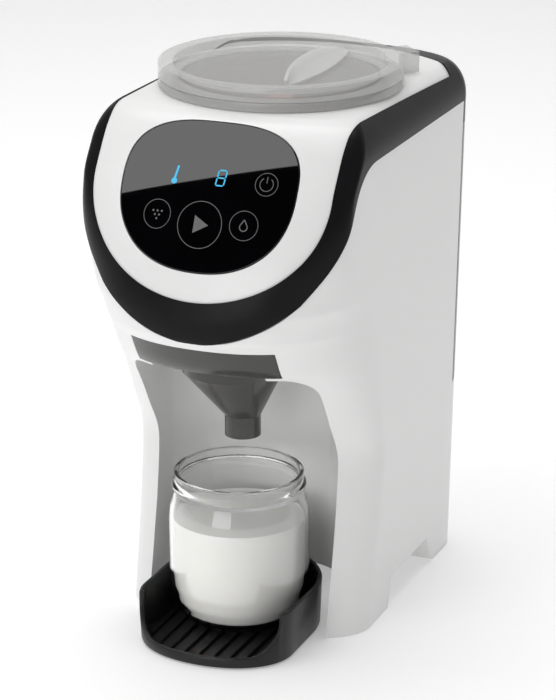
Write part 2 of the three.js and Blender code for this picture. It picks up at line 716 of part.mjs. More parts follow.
function hopperSeat() {
  const top = HOPPER_BOTTOM_Z - 0.4;
  const hole = SHAFT_R + 2;
  const nest = HOPPER_R + 0.5;
  const seat = turned([[hole, top - 8], [SEAT_R, top - 8], [SEAT_R, top + WALL], [nest, top + WALL],
    [nest, top], [hole, top], [hole, top - 8]]);
  return seat.subtract(cylinder(OUTLET_R + 1, 0, FAR, 0, OUTLET_Y));
}

function powderChute() {
  return turned([[CHUTE_R - 2, DRAWER_TOP_Z + 1], [CHUTE_R, DRAWER_TOP_Z + 1],
    [CHUTE_R, HOPPER_BOTTOM_Z - 8.7], [CHUTE_R - 2, HOPPER_BOTTOM_Z - 8.7],
    [CHUTE_R - 2, DRAWER_TOP_Z + 1]], 0, CHUTE_Y, 28);
}

function gearPlate() {
  return cut(box(-32, 32, -28, 50, GEAR_Z - 3.7, GEAR_Z - 1.4),
    cylinder(SHAFT_R + GAP, 0, FAR), cylinder(5, 0, FAR, 0, MOTOR_Y));
}

function shaftBearing() {
  return cylinder(8, GEAR_Z - 12, GEAR_Z - 4).subtract(cylinder(SHAFT_R + GAP, 0, FAR));
}

function motor() {
  return join(cylinder(12, GEAR_Z - 40, GEAR_Z - 4, 0, MOTOR_Y),
    cylinder(3.5, GEAR_Z - 5, GEAR_Z - 1, 0, MOTOR_Y));
}

function pinion() {
  const stub = cylinder(1.6, GEAR_Z - 0.6, GEAR_Z + 1, 0, MOTOR_Y, 16);
  return join(gear(PINION_TEETH, MOTOR_Y), stub);
}

// ---------------------------------------------------------------- mixing funnel

function funnelCover() {
  const plate = box(-DRAWER_HALF_WIDTH, DRAWER_HALF_WIDTH, -FAR, FUNNEL_Y, DRAWER_Z, DRAWER_TOP_Z);
  return bodyOuter.intersect(plate).subtract(body(2.4));
}

function funnel() {
  const top = DRAWER_TOP_Z - WALL;
  const half = DRAWER_HALF_WIDTH - 0.6;
  const deck = body(2.7).intersect(box(-half, half, -FAR, DRAWER_BACK_Y, top - 2.4, top));
  const skirts = [-1, 1].map((side) => {
    const inner = side * (half - 2.4);
    const outer = side * half;
    const [left, right] = [Math.min(inner, outer), Math.max(inner, outer)];
    return box(left, right, SKIRT_FRONT_Y, DRAWER_BACK_Y, DRAWER_Z, top - 1);
  });
  const bowl = loft([
    circleRing(SPOUT_R, SPOUT_Y, SPOUT_BOTTOM_Z),
    circleRing(SPOUT_R, SPOUT_Y, SPOUT_TOP_Z),
    circleRing(FUNNEL_RIM_R, FUNNEL_RIM_Y, FUNNEL_RIM_Z),
    circleRing(FUNNEL_R, FUNNEL_Y, top),
  ]);
  const hollow = loft([
    circleRing(SPOUT_R - FUNNEL_WALL, SPOUT_Y, SPOUT_BOTTOM_Z - 1),
    circleRing(SPOUT_R - FUNNEL_WALL, SPOUT_Y, SPOUT_TOP_Z - 0.8),
    circleRing(FUNNEL_RIM_R - FUNNEL_WALL, FUNNEL_RIM_Y, FUNNEL_RIM_Z),
    circleRing(FUNNEL_R - FUNNEL_WALL, FUNNEL_Y, top),
    circleRing(FUNNEL_R - FUNNEL_WALL, FUNNEL_Y, top + 1),
  ]);
  return join(deck, bowl, ...skirts).subtract(hollow);
}

// ---------------------------------------------------------------- water side

function waterTank() {
  const outer = tankSpace(0).intersect(bodyOuter).intersect(box(-FAR, FAR, 0, FAR, 0, TANK_TOP_Z));
  const inner = tankSpace(-TANK_WALL).intersect(body(TANK_WALL))
    .intersect(box(-FAR, FAR, 0, FAR, 0, TANK_TOP_Z - TANK_WALL));
  const mouth = box(-MOUTH_HALF, MOUTH_HALF, TOP_ARC_R + 2, REAR_Y - 7, TANK_TOP_Z - 2 * TANK_WALL, FAR);
  const wallIn = TANK_WALL_Y + WALL;
  const nipple = cylinderAlongY(PORT_R, TANK_WALL_Y - WALL + 1, wallIn + 1, PORT_X, PORT_Z);
  const bore = cylinderAlongY(PORT_R - 1.6, TANK_WALL_Y - WALL, wallIn + 2 * TANK_WALL, PORT_X, PORT_Z);
  return cut(join(outer.subtract(inner), nipple), mouth, bore);
}

function tankLid() {
  const region = box(-FAR, FAR, TANK_EDGE_Y + GAP, FAR, TANK_TOP_Z + GAP, TOP_Z);
  return cut(body(0).intersect(region), bodyInner, topRegion(GAP));
}

function portSeal() {
  const front = TANK_WALL_Y - WALL - 2;
  return cylinderAlongY(PORT_R + 4, front, front + 4.7, PORT_X, PORT_Z)
    .subtract(cylinderAlongY(PORT_R + GAP, 0, FAR, PORT_X, PORT_Z));
}

function pump() {
  return join(cylinderAlongY(PUMP_R, 10, 36, PUMP_X, PUMP_Z),
    cylinderAlongY(PUMP_R - 4, 36, 44, PUMP_X, PUMP_Z),
    box(PUMP_X - 8, PUMP_X + 8, 14, 32, 28, PUMP_Z));
}

function heater() {
  return cylinder(HEATER_R, HEATER_Z, HEATER_TOP_Z, HEATER_X, HEATER_Y, 28);
}

function heaterCap(z0, z1) {
  return cylinder(HEATER_R + 2, z0, z1, HEATER_X, HEATER_Y, 28);
}

function nozzle() {
  return turned([[1.6, DRAWER_TOP_Z - 1], [NOZZLE_R, DRAWER_TOP_Z + 1], [NOZZLE_R, DRAWER_TOP_Z + 12],
    [1.6, DRAWER_TOP_Z + 12], [1.6, DRAWER_TOP_Z - 1]], NOZZLE_X, NOZZLE_Y, 20);
}

const hoseRoutes = {
  tank_hose: [[PORT_X, 53.4, PORT_Z], [PORT_X, 50.5, PORT_Z], [PORT_X, 48.5, PORT_Z - 8], [PORT_X, 50, 70],
    [PUMP_X, 49.5, PUMP_Z + 6], [PUMP_X, 47.5, PUMP_Z + 0.5], [PUMP_X, 44.4, PUMP_Z]],
  pump_hose: [[PUMP_X, 9.6, PUMP_Z], [PUMP_X, 6.6, PUMP_Z], [PUMP_X - 8, 2.6, PUMP_Z + 1], [4, 6, PUMP_Z],
    [-16, 14, PUMP_Z - 1], [HEATER_X + 1, HEATER_Y - 5, PUMP_Z - 0.5], [HEATER_X, HEATER_Y, PUMP_Z + 3.5],
    [HEATER_X, HEATER_Y, HEATER_Z - 6.5]],
  heater_hose: [[HEATER_X, HEATER_Y, HEATER_TOP_Z + 6.4], [HEATER_X, HEATER_Y, HEATER_TOP_Z + 11],
    [HEATER_X - 6, HEATER_Y - 3, 142], [-46, 10, 170], [-50, -20, 192], [-34, -62, 199], [0, -78, 200],
    [NOZZLE_X - 1, NOZZLE_Y - 1, DRAWER_TOP_Z + 20], [NOZZLE_X, NOZZLE_Y, DRAWER_TOP_Z + 16],
    [NOZZLE_X, NOZZLE_Y, DRAWER_TOP_Z + 12.6]],
};

// ---------------------------------------------------------------- jar and tray

// Profiles of the jar as radius and height above its base.
const jarOuter = [[20, 0], [27, 1.5], [32.5, 6], [36.5, 14.5], [JAR_R, 27], [JAR_R, 62], [34.2, 75],
  [36, 77.5], [34.4, 81]];
const jarInner = [[32, 75], [35.9, 61], [35.9, 27], [34.3, 15], [30.6, 7.5], [25.8, 4], [19.5, 3]];

function aboveJarBase(points, inset) {
  return points.map(([r, z]) => [r - inset, JAR_BOTTOM_Z + z + inset]);
}

function jar() {
  return turned([[0, JAR_BOTTOM_Z], ...aboveJarBase(jarOuter, 0), [34.7, JAR_RIM_Z], [32.3, JAR_RIM_Z],
    ...aboveJarBase(jarInner, 0), [0, JAR_BOTTOM_Z + 3]], 0, JAR_Y);
}

function milkFill() {
  const wetted = aboveJarBase(jarInner.slice(1).reverse(), GAP);
  wetted[wetted.length - 1][1] = MILK_Z;
  return turned([[0, JAR_BOTTOM_Z + 3 + GAP], ...wetted, [0, MILK_Z]], 0, JAR_Y);
}

function trayRing(inset, z) {
  const spread = 0.035 * z;
  const half = TRAY_HALF_WIDTH + spread - inset;
  const back = arch(half, half, TRAY_BACK_POWER, 20);
  const front = arch(half, TRAY_CORNER_Y - TRAY_FRONT_Y - inset, TRAY_FRONT_POWER, 20).reverse();
  return [...back.map(([x, y]) => new THREE.Vector3(TRAY_X + x, JAR_Y + y, z)),
    ...front.map(([x, y]) => new THREE.Vector3(TRAY_X + x, TRAY_CORNER_Y - y, z))];
}

function dripTray() {
  const bottom = 0.4;
  const outer = loft([trayRing(1, bottom), trayRing(0, bottom + 1), trayRing(0, TRAY_WALL_Z)]);
  const inner = loft([
    trayRing(3.6, TRAY_FLOOR_Z),
    trayRing(2.6, TRAY_FLOOR_Z + 1.5),
    trayRing(2.6, TRAY_WALL_Z + 1),
  ]);
  const cutOut = new THREE.Shape();
  cutOut.moveTo(TRAY_X + TRAY_CUT_TOP, FAR);
  cutOut.lineTo(TRAY_X - TRAY_CUT_TOP, FAR);
  cutOut.lineTo(TRAY_X - TRAY_CUT_TOP, TRAY_WALL_Z);
  cutOut.bezierCurveTo(TRAY_X - TRAY_CUT_TOP, TRAY_WALL_Z / 2, TRAY_X - TRAY_CUT_TOP + 4, TRAY_LIP_Z,
    TRAY_X - TRAY_CUT_LIP, TRAY_LIP_Z);
  cutOut.lineTo(TRAY_X + TRAY_CUT_LIP, TRAY_LIP_Z);
  cutOut.bezierCurveTo(TRAY_X + TRAY_CUT_TOP - 4, TRAY_LIP_Z, TRAY_X + TRAY_CUT_TOP, TRAY_WALL_Z / 2,
    TRAY_X + TRAY_CUT_TOP, TRAY_WALL_Z);
  const ribs = Array.from({ length: TRAY_RIBS }, (_, i) => {
    const x = TRAY_X + (i - (TRAY_RIBS - 1) / 2) * TRAY_RIB_PITCH;
    return box(x - 0.9, x + 0.9, TRAY_FRONT_Y, JAR_Y + TRAY_HALF_WIDTH,
      TRAY_FLOOR_Z - 0.5, JAR_BOTTOM_Z - GAP);
  });
  const ribsInside = join(...ribs).intersect(loft([trayRing(4, 0), trayRing(4, TRAY_WALL_Z)]));
  return join(cut(outer, inner, forwards(cutOut, -FAR, TRAY_CORNER_Y)), ribsInside);
}

// ---------------------------------------------------------------- assembly

const modelling = new THREE.Group();
modelling.position.set(0, AXIS_Y, 0);

function add(name, shape, look) {
  const mesh = new THREE.Mesh(toGeometry(shape), look);
  mesh.name = name;
  modelling.add(mesh);
}

for (const [name, shape] of Object.entries(shellParts())) {
  add(name, shape, whitePlastic());
}
add('bezel_band', bezelBand(), blackPlastic());
add('top_cover', topCover(), whitePlastic());
add('control_panel', controlPanel(), panelGlass());
add('display_module', behindFace(rectangle(-27, 22, 1, 17), 4.4, 8), material(0x0b2a36, 0.3));
add('control_board', behindFace(rectangle(-36, 36, -28, 28), 8.3, 9.9), circuit());
for (const [name, x, v] of TOUCH_PADS) {
  add(`touch_pad_${name}`, behindFace(disc(5, x, v), 5.2, 8), copper());
}

add('machinery_plate', machineryPlate(), greyPlastic());
add('rear_plate', hatch(REAR_HATCH, 0), greyPlastic());
footPlaces.forEach(([x, y], i) => {
  add(`rubber_foot_${i + 1}`, cylinder(FOOT_R, 0, FOOT_RECESS_Z - GAP, x, y), rubber());
});
screwPlaces.forEach(([x, y], i) => {
  add(`base_screw_${i + 1}`, baseScrew(x, y), steel());
});
add('cord_gland', cordGland(), rubber());
add('power_board', box(-36, 36, 3, 47, 26, 27.6), circuit());
add('transformer', box(-34, -14, 5, 25, 27.9, 36), greyPlastic());
add('capacitor', cylinder(5.5, 27.9, 44, 3, 26, 24), blackPlastic());

add('hopper', hopper(), clearPlastic());
add('hopper_lid', hopperLid(), clearPlastic());
add('dosing_disc', doser(), whitePlastic());
add('stirrer', stirrer(), peachPlastic());
add('hopper_seat', hopperSeat(), greyPlastic());
add('powder_chute', powderChute(), greyPlastic());
add('gear_plate', gearPlate(), steel());
add('shaft_bearing', shaftBearing(), steel());
add('drive_shaft', cylinder(SHAFT_R, GEAR_Z - 11, HOPPER_BOTTOM_Z + 6.5, 0, 0, 24), steel());
add('drive_gear', gear(GEAR_TEETH, 0).subtract(cylinder(SHAFT_R + GAP, 0, FAR)), whitePlastic());
add('motor', motor(), steel());
add('motor_pinion', pinion(), whitePlastic());

add('funnel_cover', funnelCover(), smokePlastic());
add('funnel', funnel(), smokePlastic());

add('water_tank', waterTank(), smokePlastic());
add('tank_lid', tankLid(), blackPlastic());
add('port_seal', portSeal(), rubber());
add('water_pump', pump(), blackPlastic());
add('water_heater', heater(), steel());
add('heater_cap_low', heaterCap(HEATER_Z - 6, HEATER_Z - GAP), blackPlastic());
add('heater_cap_high', heaterCap(HEATER_TOP_Z + GAP, HEATER_TOP_Z + 6), blackPlastic());
add('water_nozzle', nozzle(), greyPlastic());
for (const [name, route] of Object.entries(hoseRoutes)) {
  add(name, tube(route, HOSE_R), clearPlastic());
}

add('drip_tray', dripTray(), blackPlastic());
add('jar', jar(), jarGlass());
add('milk', milkFill(), milk());

const formulaDispenser = new THREE.Group();
formulaDispenser.add(modelling);

export default formulaDispenser;
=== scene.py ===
"""Looks of the formula dispenser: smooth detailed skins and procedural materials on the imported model.

Shapes are set out in millimetres from the hopper's axis, with +Z up and the front towards -Y, and are
turned into metres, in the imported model's frame, when each piece is made.
"""

import json
import math

import bpy
from mathutils import Matrix, Vector
from mathutils.bvhtree import BVHTree
from mathutils.interpolate import poly_3d_calc


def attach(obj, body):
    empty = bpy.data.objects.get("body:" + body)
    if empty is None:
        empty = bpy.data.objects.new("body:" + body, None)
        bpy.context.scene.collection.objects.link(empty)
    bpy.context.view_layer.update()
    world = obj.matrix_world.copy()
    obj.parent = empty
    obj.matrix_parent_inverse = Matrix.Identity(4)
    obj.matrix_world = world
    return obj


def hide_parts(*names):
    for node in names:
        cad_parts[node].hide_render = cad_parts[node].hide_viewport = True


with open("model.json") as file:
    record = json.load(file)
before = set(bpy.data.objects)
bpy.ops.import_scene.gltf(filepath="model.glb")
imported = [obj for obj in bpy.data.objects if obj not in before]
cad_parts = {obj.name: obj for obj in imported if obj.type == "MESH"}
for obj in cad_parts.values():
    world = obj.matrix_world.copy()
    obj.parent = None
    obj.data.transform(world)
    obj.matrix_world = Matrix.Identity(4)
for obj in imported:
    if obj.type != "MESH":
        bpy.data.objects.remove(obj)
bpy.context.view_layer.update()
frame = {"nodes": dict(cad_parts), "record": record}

# ------------------------------------------------------------------ dimensions, in millimetres

METRES = 0.001
AXIS_Y = 0.8  # the hopper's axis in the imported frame
GAP = 0.3
WALL = 3.0
FAR = 400.0

HALF_WIDTH_AT_FLOOR = 69.1
SIDE_LEAN = 0.02
TOP_Z = 287.6
SHOULDER_Z = 268.0
SHOULDER_DEPTH = 15.0
REAR_CORNER_Y = 80.0
REAR_Y = 118.5
REAR_POWER = 2.25

# Front of the body: height, y at the centre line, y where the side starts to curve, exponent.
FRONT_STATIONS = [
    (0.8, -72.5, -38.5, 2.25),
    (40, -63.5, -31, 2.25),
    (70, -57.5, -25.5, 2.25),
    (96, -55, -22.6, 2.25),
    (123, -70, -30, 2.25),
    (146, -88, -35, 2.25),
    (160, -105, -36.5, 2.2),
    (174, -113.5, -40, 2.25),
    (181, -118.1, -41, 2.35),
    (189, -119.3, -46, 2.45),
    (197, -118.4, -55, 2.6),
    (215, -114.4, -72, 2.6),
    (228, -110.2, -82, 2.4),
    (239, -105.9, -85, 2.25),
    (252, -99, -83.5, 2.25),
    (269, -89, -72, 2.25),
    (279, -82, -64, 2.25),
    (284.5, -76.6, -58, 2.25),
    (TOP_Z, -66, -50, 2.25),
]

CHIN_BEND = (172.0, 202.0)  # between these heights the front turns sharply
RING_STEP = 3.2
CHIN_RING_STEP = 0.9
SHOULDER_RING_STEPS = (0.15, 1.4)  # smallest and largest
SHOULDER_RING_SHARE = 0.28  # of the height that is left above

FACE_TILT = math.radians(27.3)
FACE_DISTANCE = 202.4
FACE_CENTRE = 178.6
FACE_HALF_WIDTH = 65.7
FACE_DROP = 59.0
FACE_WIDEST = 5.0
TOP_REAR_HALF_WIDTH = 70.5
TOP_REAR_RISE = 103.0
TOP_ARC_R = 98.5

PANEL_HALF_WIDTH = 48.0
PANEL_RISE = 34.4
PANEL_FALL = 44.4
PANEL_FALL_POWER = 2.27
PANEL_RISE_POWER = 2.85
PANEL_THICKNESS = 1.6
GLASS_EDGE = -0.55  # margin of the panel's outline where the glass's rounded rim ends

BAND_HALF_WIDTH = 76.0
BAND_DROP = 79.0
BAND_POWER = 1.9
BAND_SETBACK = 15.5
BAND_SIDE_Z = 266.6
BAND_BEND_R = 33.0
BAND_PROUD = 0.8
BELOW_CHIN_Z = 100.0

BAY_HALF_WIDTH = 52.4
BAY_BACK_Y = -8.0
BAY_TOP_Z = 156.0
BAY_CORNER_R = 14.0
BAY_BACK_R = 34.0

FOOT_TOP_Z = 18.6
FLOOR_TOP_Z = 22.0
REAR_SKIRT_Y = 100.0
FOOT_R = 6.0
FOOT_RECESS_Z = 3.0
FOOT_PLACES = [(-60.5, -38.0), (60.5, -38.0), (-60.5, 78.0), (60.5, 78.0)]
HATCHES = [(40.0, 0.0, 50.0), (34.0, 64.0, 96.0)]  # half width, front y, rear y
NOTCH_AT_BENCH = (-13.0, 61.0)  # front and rear y of the cut-away between the feet
NOTCH_AT_TOP = (-8.0, 48.0)

TANK_WALL_Y = 58.6
TANK_EDGE_Y = 82.2
TANK_FLOOR_Z = 101.6
TANK_FLOOR_SLOPE = math.radians(15)
TANK_TOP_Z = 253.7
TANK_NEST_HALF_WIDTH = 69.0
TANK_WALL = 2.4
MOUTH_HALF = 45.0
REAR_SPACE_TOP_Z = 88.0
PORT = (30.0, 104.0, 4.0)  # x, z and radius of the tank's outlet
PORT_WALL = 1.6
GLAND_Z = 40.0
GLAND_R = 5.5
NOZZLE = (20.0, -66.0, 4.5)  # x, y and radius
CHUTE = (-46.0, 11.0)  # y and radius

DRAWER_HALF_WIDTH = 40.0
DRAWER_Z = 158.2
DRAWER_TOP_Z = 174.0
DRAWER_BACK_Y = -26.0
DRAWER_FRONT_WALL = 2.4
SPOUT_Y = -52.4
SPOUT_R = 9.7
SPOUT_BOTTOM_Z = 107.5
SPOUT_TOP_Z = 119.0
FUNNEL_RIM_Y = -65.2
FUNNEL_RIM_R = 27.2
FUNNEL_RIM_Z = 149.0
FUNNEL_Y = -64.5
FUNNEL_R = 31.0
SKIRT_FRONT_Y = -90.0
FUNNEL_WALL = 1.6

HOPPER_R = 56.5
HOPPER_WALL = 2.2
HOPPER_BOTTOM_Z = 219.0
COLLAR_Z = 288.0
RIM_R = 65.1
LID_Z = 292.9
LID_TOP_Z = 300.7
LID_RING_WIDTH = 8.0
LID_DISH_DEPTH = 5.5
LID_SKIRT_DEPTH = 6.0
LID_SKIRT_WALL = 2.2
GRIP_FRONT_Y = -33.5
GRIP_LENGTH = 95.0
TAB_REACH = 76.5
TAB_HALF_WIDTH = 8.3
OUTLET_Y = -45.0
OUTLET_R = 7.0
SHAFT_HOLE_R = 6.0
TAB_ANGLE = math.radians(44.3)

JAR_Y = -58.0
JAR_BOTTOM_Z = 3.8

TRAY_X = 1.0
TRAY_HALF_WIDTH = 43.0
TRAY_FRONT_Y = -119.5
TRAY_CORNER_Y = -88.0
TRAY_FRONT_POWER = 2.1
TRAY_CUT_TOP = 41.8
TRAY_CUT_LIP = 25.0
TRAY_WALL_Z = 28.0
TRAY_LIP_Z = 6.6
TRAY_FLOOR_Z = 1.5
TRAY_FLARE = 0.035
BARS = 10
BAR_PITCH = 8.5
BAR_WIDTH = 5.8
BAR_BEVEL = 0.4

# ------------------------------------------------------------------ meshes

UP_FACE = Vector((0, math.sin(FACE_TILT), math.cos(FACE_TILT)))
OUT_OF_FACE = Vector((0, -math.cos(FACE_TILT), math.sin(FACE_TILT)))
ACROSS = Vector((1, 0, 0))


def clamp(value, low, high):
    return max(low, min(high, value))


def draft(points, faces, name="draft"):
    """A working object, in millimetres from the hopper's axis."""
    mesh = bpy.data.meshes.new(name)
    mesh.from_pydata([tuple(p) for p in points], [], faces)
    mesh.validate()
    made = bpy.data.objects.new(name, mesh)
    bpy.context.scene.collection.objects.link(made)
    return made


def discard(*objects):
    for o in objects:
        mesh = o.data
        bpy.data.objects.remove(o)
        bpy.data.meshes.remove(mesh)


def skin(rings, closed=True, capped=True):
    """Points and faces of a skin over rings that all have the same number of points."""
    count = len(rings[0])
    points = [p for ring in rings for p in ring]
    faces = []
    for low in range(0, (len(rings) - 1) * count, count):
        for i in range(count if closed else count - 1):
            j = (i + 1) % count
            faces.append((low + i, low + j, low + count + j, low + count + i))
    if capped:
        faces.append(tuple(range(count - 1, -1, -1)))
        faces.append(tuple(range(len(points) - count, len(points))))
    return points, faces


def loft(rings):
    return draft(*skin(rings))


def prism(outline, origin, across, up, depth):
    """An outline drawn along across and up from origin, extruded by the vector depth."""
    base = [origin + across * a + up * b for a, b in outline]
    turning = sum(a[0] * b[1] - b[0] * a[1] for a, b in zip(outline, outline[1:] + outline[:1]))
    if turning * across.cross(up).dot(depth) < 0:
        base.reverse()
    return loft([base, [p + depth for p in base]])


def box(x0, x1, y0, y1, z0, z1):
    corners = [(x0, y0), (x1, y0), (x1, y1), (x0, y1)]
    return prism(corners, Vector((0, 0, z0)), ACROSS, Vector((0, 1, 0)), Vector((0, 0, z1 - z0)))


def circle(r, z, x=0.0, y=0.0, count=96):
    turn = 2 * math.pi / count
    return [Vector((x + r * math.cos(i * turn), y + r * math.sin(i * turn), z)) for i in range(count)]


def cylinder(r, z0, z1, x=0.0, y=0.0, count=96):
    return loft([circle(r, z0, x, y, count), circle(r, z1, x, y, count)])


def cylinder_along_y(r, y0, y1, x, z, count=48):
    turn = 2 * math.pi / count
    rings = [
        [Vector((x - r * math.cos(i * turn), y, z + r * math.sin(i * turn))) for i in range(count)]
        for y in (y0, y1)
    ]
    return loft(rings)


def turned(profile, x=0.0, y=0.0, count=96):
    """A body turned about the vertical at x, y from (radius, z) points, its outer wall going up.
    A profile that ends where it starts makes a ring."""
    is_ring = tuple(profile[0]) == tuple(profile[-1])
    rings = [circle(max(r, 0.02), z, x, y, count) for r, z in (profile[:-1] if is_ring else profile)]
    points, faces = skin(rings, capped=not is_ring)
    if is_ring:
        last = len(points) - count
        faces += [(last + i, last + (i + 1) % count, (i + 1) % count, i) for i in range(count)]
    return draft(points, faces)


def bend_between(start, corner, end, steps):
    """Points of the smooth bend from start to end that the corner pulls outwards."""
    shares = [i / steps for i in range(steps + 1)]
    return [start * (1 - t) ** 2 + corner * 2 * t * (1 - t) + end * t * t for t in shares]


def rounded(profile, radius, steps=3):
    """The profile with each corner between its ends rounded off."""
    made = [profile[0]]
    for before, corner, after in zip(profile, profile[1:], profile[2:]):
        here = Vector(corner)
        back = Vector(before) - here
        ahead = Vector(after) - here
        reach = min(radius, 0.45 * back.length, 0.45 * ahead.length)
        start = here + back.normalized() * reach
        end = here + ahead.normalized() * reach
        made += [tuple(p) for p in bend_between(start, here, end, steps)]
    made.append(profile[-1])
    return made


def combine(base, tool, operation, keep=False):
    """base with tool cut from it, joined to it or shared with it."""
    modifier = base.modifiers.new("combine", "BOOLEAN")
    modifier.operation = operation
    modifier.solver = "MANIFOLD"
    modifier.object = tool
    ready = base.evaluated_get(bpy.context.evaluated_depsgraph_get())
    mesh = bpy.data.meshes.new_from_object(ready)
    base.modifiers.clear()
    old = base.data
    base.data = mesh
    bpy.data.meshes.remove(old)
    if not keep:
        discard(tool)
    return base


def cut(base, *tools, keep=()):
    for tool in tools:
        combine(base, tool, "DIFFERENCE")
    for tool in keep:
        combine(base, tool, "DIFFERENCE", keep=True)
    return base


def join(base, *tools):
    for tool in tools:
        combine(base, tool, "UNION")
    return base


def meet(base, *tools, keep=()):
    for tool in tools:
        combine(base, tool, "INTERSECT")
    for tool in keep:
        combine(base, tool, "INTERSECT", keep=True)
    return base


def copy(o):
    made = bpy.data.objects.new(o.name, o.data.copy())
    bpy.context.scene.collection.objects.link(made)
    return made


# ------------------------------------------------------------------ body outline


def smooth_through(pairs):
    """A monotone cubic through (place, value) pairs."""
    places = [p for p, _ in pairs]
    values = [v for _, v in pairs]
    steps = [b - a for a, b in zip(places, places[1:])]
    rises = [(b - a) / h for a, b, h in zip(values, values[1:], steps)]
    slopes = [rises[0]]
    for a, b in zip(rises, rises[1:]):
        slopes.append(0.0 if a * b <= 0 else 2 * a * b / (a + b))
    slopes.append(rises[-1])

    def value_at(place):
        i = 0
        while i < len(steps) - 1 and place > places[i + 1]:
            i += 1
        h = steps[i]
        t = clamp((place - places[i]) / h, 0, 1)
        return (
            values[i] * (1 + 2 * t) * (1 - t) ** 2
            + h * slopes[i] * t * (1 - t) ** 2
            + values[i + 1] * t * t * (3 - 2 * t)
            + h * slopes[i + 1] * t * t * (t - 1)
        )

    return value_at


front_y, corner_y, front_power = (
    smooth_through([(row[0], row[column]) for row in FRONT_STATIONS]) for column in (1, 2, 3)
)


def arch(half_width, rise, power, steps):
    """Half of a superellipse, from angle 0 to pi, as (x, rise) pairs."""
    points = []
    for i in range(steps + 1):
        angle = math.pi * i / steps
        across = math.copysign(abs(math.cos(angle)) ** (2 / power), math.cos(angle))
        points.append((half_width * across, rise * max(math.sin(angle), 0) ** (2 / power)))
    return points


def shoulder(z):
    t = clamp((z - SHOULDER_Z) / (TOP_Z - SHOULDER_Z), 0, 1)
    return SHOULDER_DEPTH * (1 - math.sqrt(1 - t * t))


def body_ring(z, inset, at_z, points=72):
    moved = shoulder(z) + inset
    half = HALF_WIDTH_AT_FLOOR + SIDE_LEAN * z - moved
    corner = corner_y(z)
    rear = arch(half, REAR_Y - REAR_CORNER_Y - moved, REAR_POWER, points)
    ahead = arch(half, corner - front_y(z) - inset, front_power(z), points)
    along = [corner + (REAR_CORNER_Y - corner) * i / 7 for i in range(1, 7)]
    ring = [Vector((x, REAR_CORNER_Y + y, at_z)) for x, y in rear]
    ring += [Vector((-half, y, at_z)) for y in reversed(along)]
    ring += [Vector((x, corner - y, at_z)) for x, y in reversed(ahead)]
    return ring + [Vector((half, y, at_z)) for y in along]


def heights():
    """Heights of the body's rings, closer together where it bends."""
    z = FRONT_STATIONS[0][0]
    found = []
    while z < TOP_Z - 0.3:
        found.append(z)
        if CHIN_BEND[0] < z < CHIN_BEND[1]:
            z += CHIN_RING_STEP
        elif z > SHOULDER_Z - 2:
            z += clamp(SHOULDER_RING_SHARE * (TOP_Z - z), *SHOULDER_RING_STEPS)
        else:
            z += RING_STEP
    return found + [TOP_Z]


HEIGHTS = heights()


def body(inset):
    """The whole body moved in by inset, or out where inset is negative."""
    rings = []
    for z in HEIGHTS:
        share = clamp((z - SHOULDER_Z) / (TOP_Z - SHOULDER_Z), 0, 1) ** 2
        drop = inset * share
        if z == HEIGHTS[0]:
            drop = max(inset, 0)
        rings.append(body_ring(z, inset, z - drop))
    return loft(rings)


class SmoothSurface:
    """The places and shading normals of a finely lofted object, kept for pieces cut from it."""

    def __init__(self, o):
        self.points = [v.co.copy() for v in o.data.vertices]
        self.normals = [v.normal.copy() for v in o.data.vertices]
        self.polygons = [tuple(p.vertices) for p in o.data.polygons]
        self.tree = BVHTree.FromPolygons(self.points, self.polygons)

    def normal_at(self, place, facing):
        """The surface's shading normal at a place on it, or None where a face turns away from it."""
        near, flat, index, _ = self.tree.find_nearest(place, 0.08)
        if index is None or abs(flat.dot(facing)) < 0.8:
            return None
        corners = self.polygons[index]
        if len(corners) > 4:
            return flat
        weights = poly_3d_calc([self.points[c] for c in corners], near)
        blended = sum((self.normals[c] * w for c, w in zip(corners, weights)), Vector()).normalized()
        return blended if blended.dot(facing) > 0 else -blended


outer = body(0)
inner = body(WALL)
outer_surface = SmoothSurface(outer)

# ------------------------------------------------------------------ dividing surfaces


def on_face_plane(x, v, out):
    return ACROSS * x + UP_FACE * (FACE_CENTRE + v) + OUT_OF_FACE * (FACE_DISTANCE + out)


def on_face(x, v, lift):
    """The point of the body's face at x across and v up, lifted out of it."""
    hit = outer_surface.tree.ray_cast(on_face_plane(x, v, 2 * WALL), -OUT_OF_FACE)
    return hit[0] + OUT_OF_FACE * lift


def face_prism(outline, near, far):
    """An outline on the face, from far behind the face plane to near in front of it."""
    return prism(outline, on_face_plane(0, 0, far), ACROSS, UP_FACE, OUT_OF_FACE * (near - far))


def face_outline(margin):
    half = FACE_HALF_WIDTH + margin
    rear_half = TOP_REAR_HALF_WIDTH + margin
    points = [(-x, FACE_WIDEST - drop) for x, drop in arch(half, FACE_DROP + margin, 2, 96)]
    points += [(half, FACE_WIDEST + PANEL_RISE), (rear_half, TOP_REAR_RISE), (rear_half, FAR)]
    points += [(-rear_half, FAR), (-rear_half, TOP_REAR_RISE), (-half, FACE_WIDEST + PANEL_RISE)]
    return points


def panel_outline(margin, steps=48):
    half = PANEL_HALF_WIDTH + margin
    fall = arch(half, PANEL_FALL + margin, PANEL_FALL_POWER, steps)
    rise = arch(half, PANEL_RISE + margin, PANEL_RISE_POWER, steps)[1:-1]
    return [(-x, FACE_WIDEST - y) for x, y in fall] + [(x, FACE_WIDEST + y) for x, y in rise]


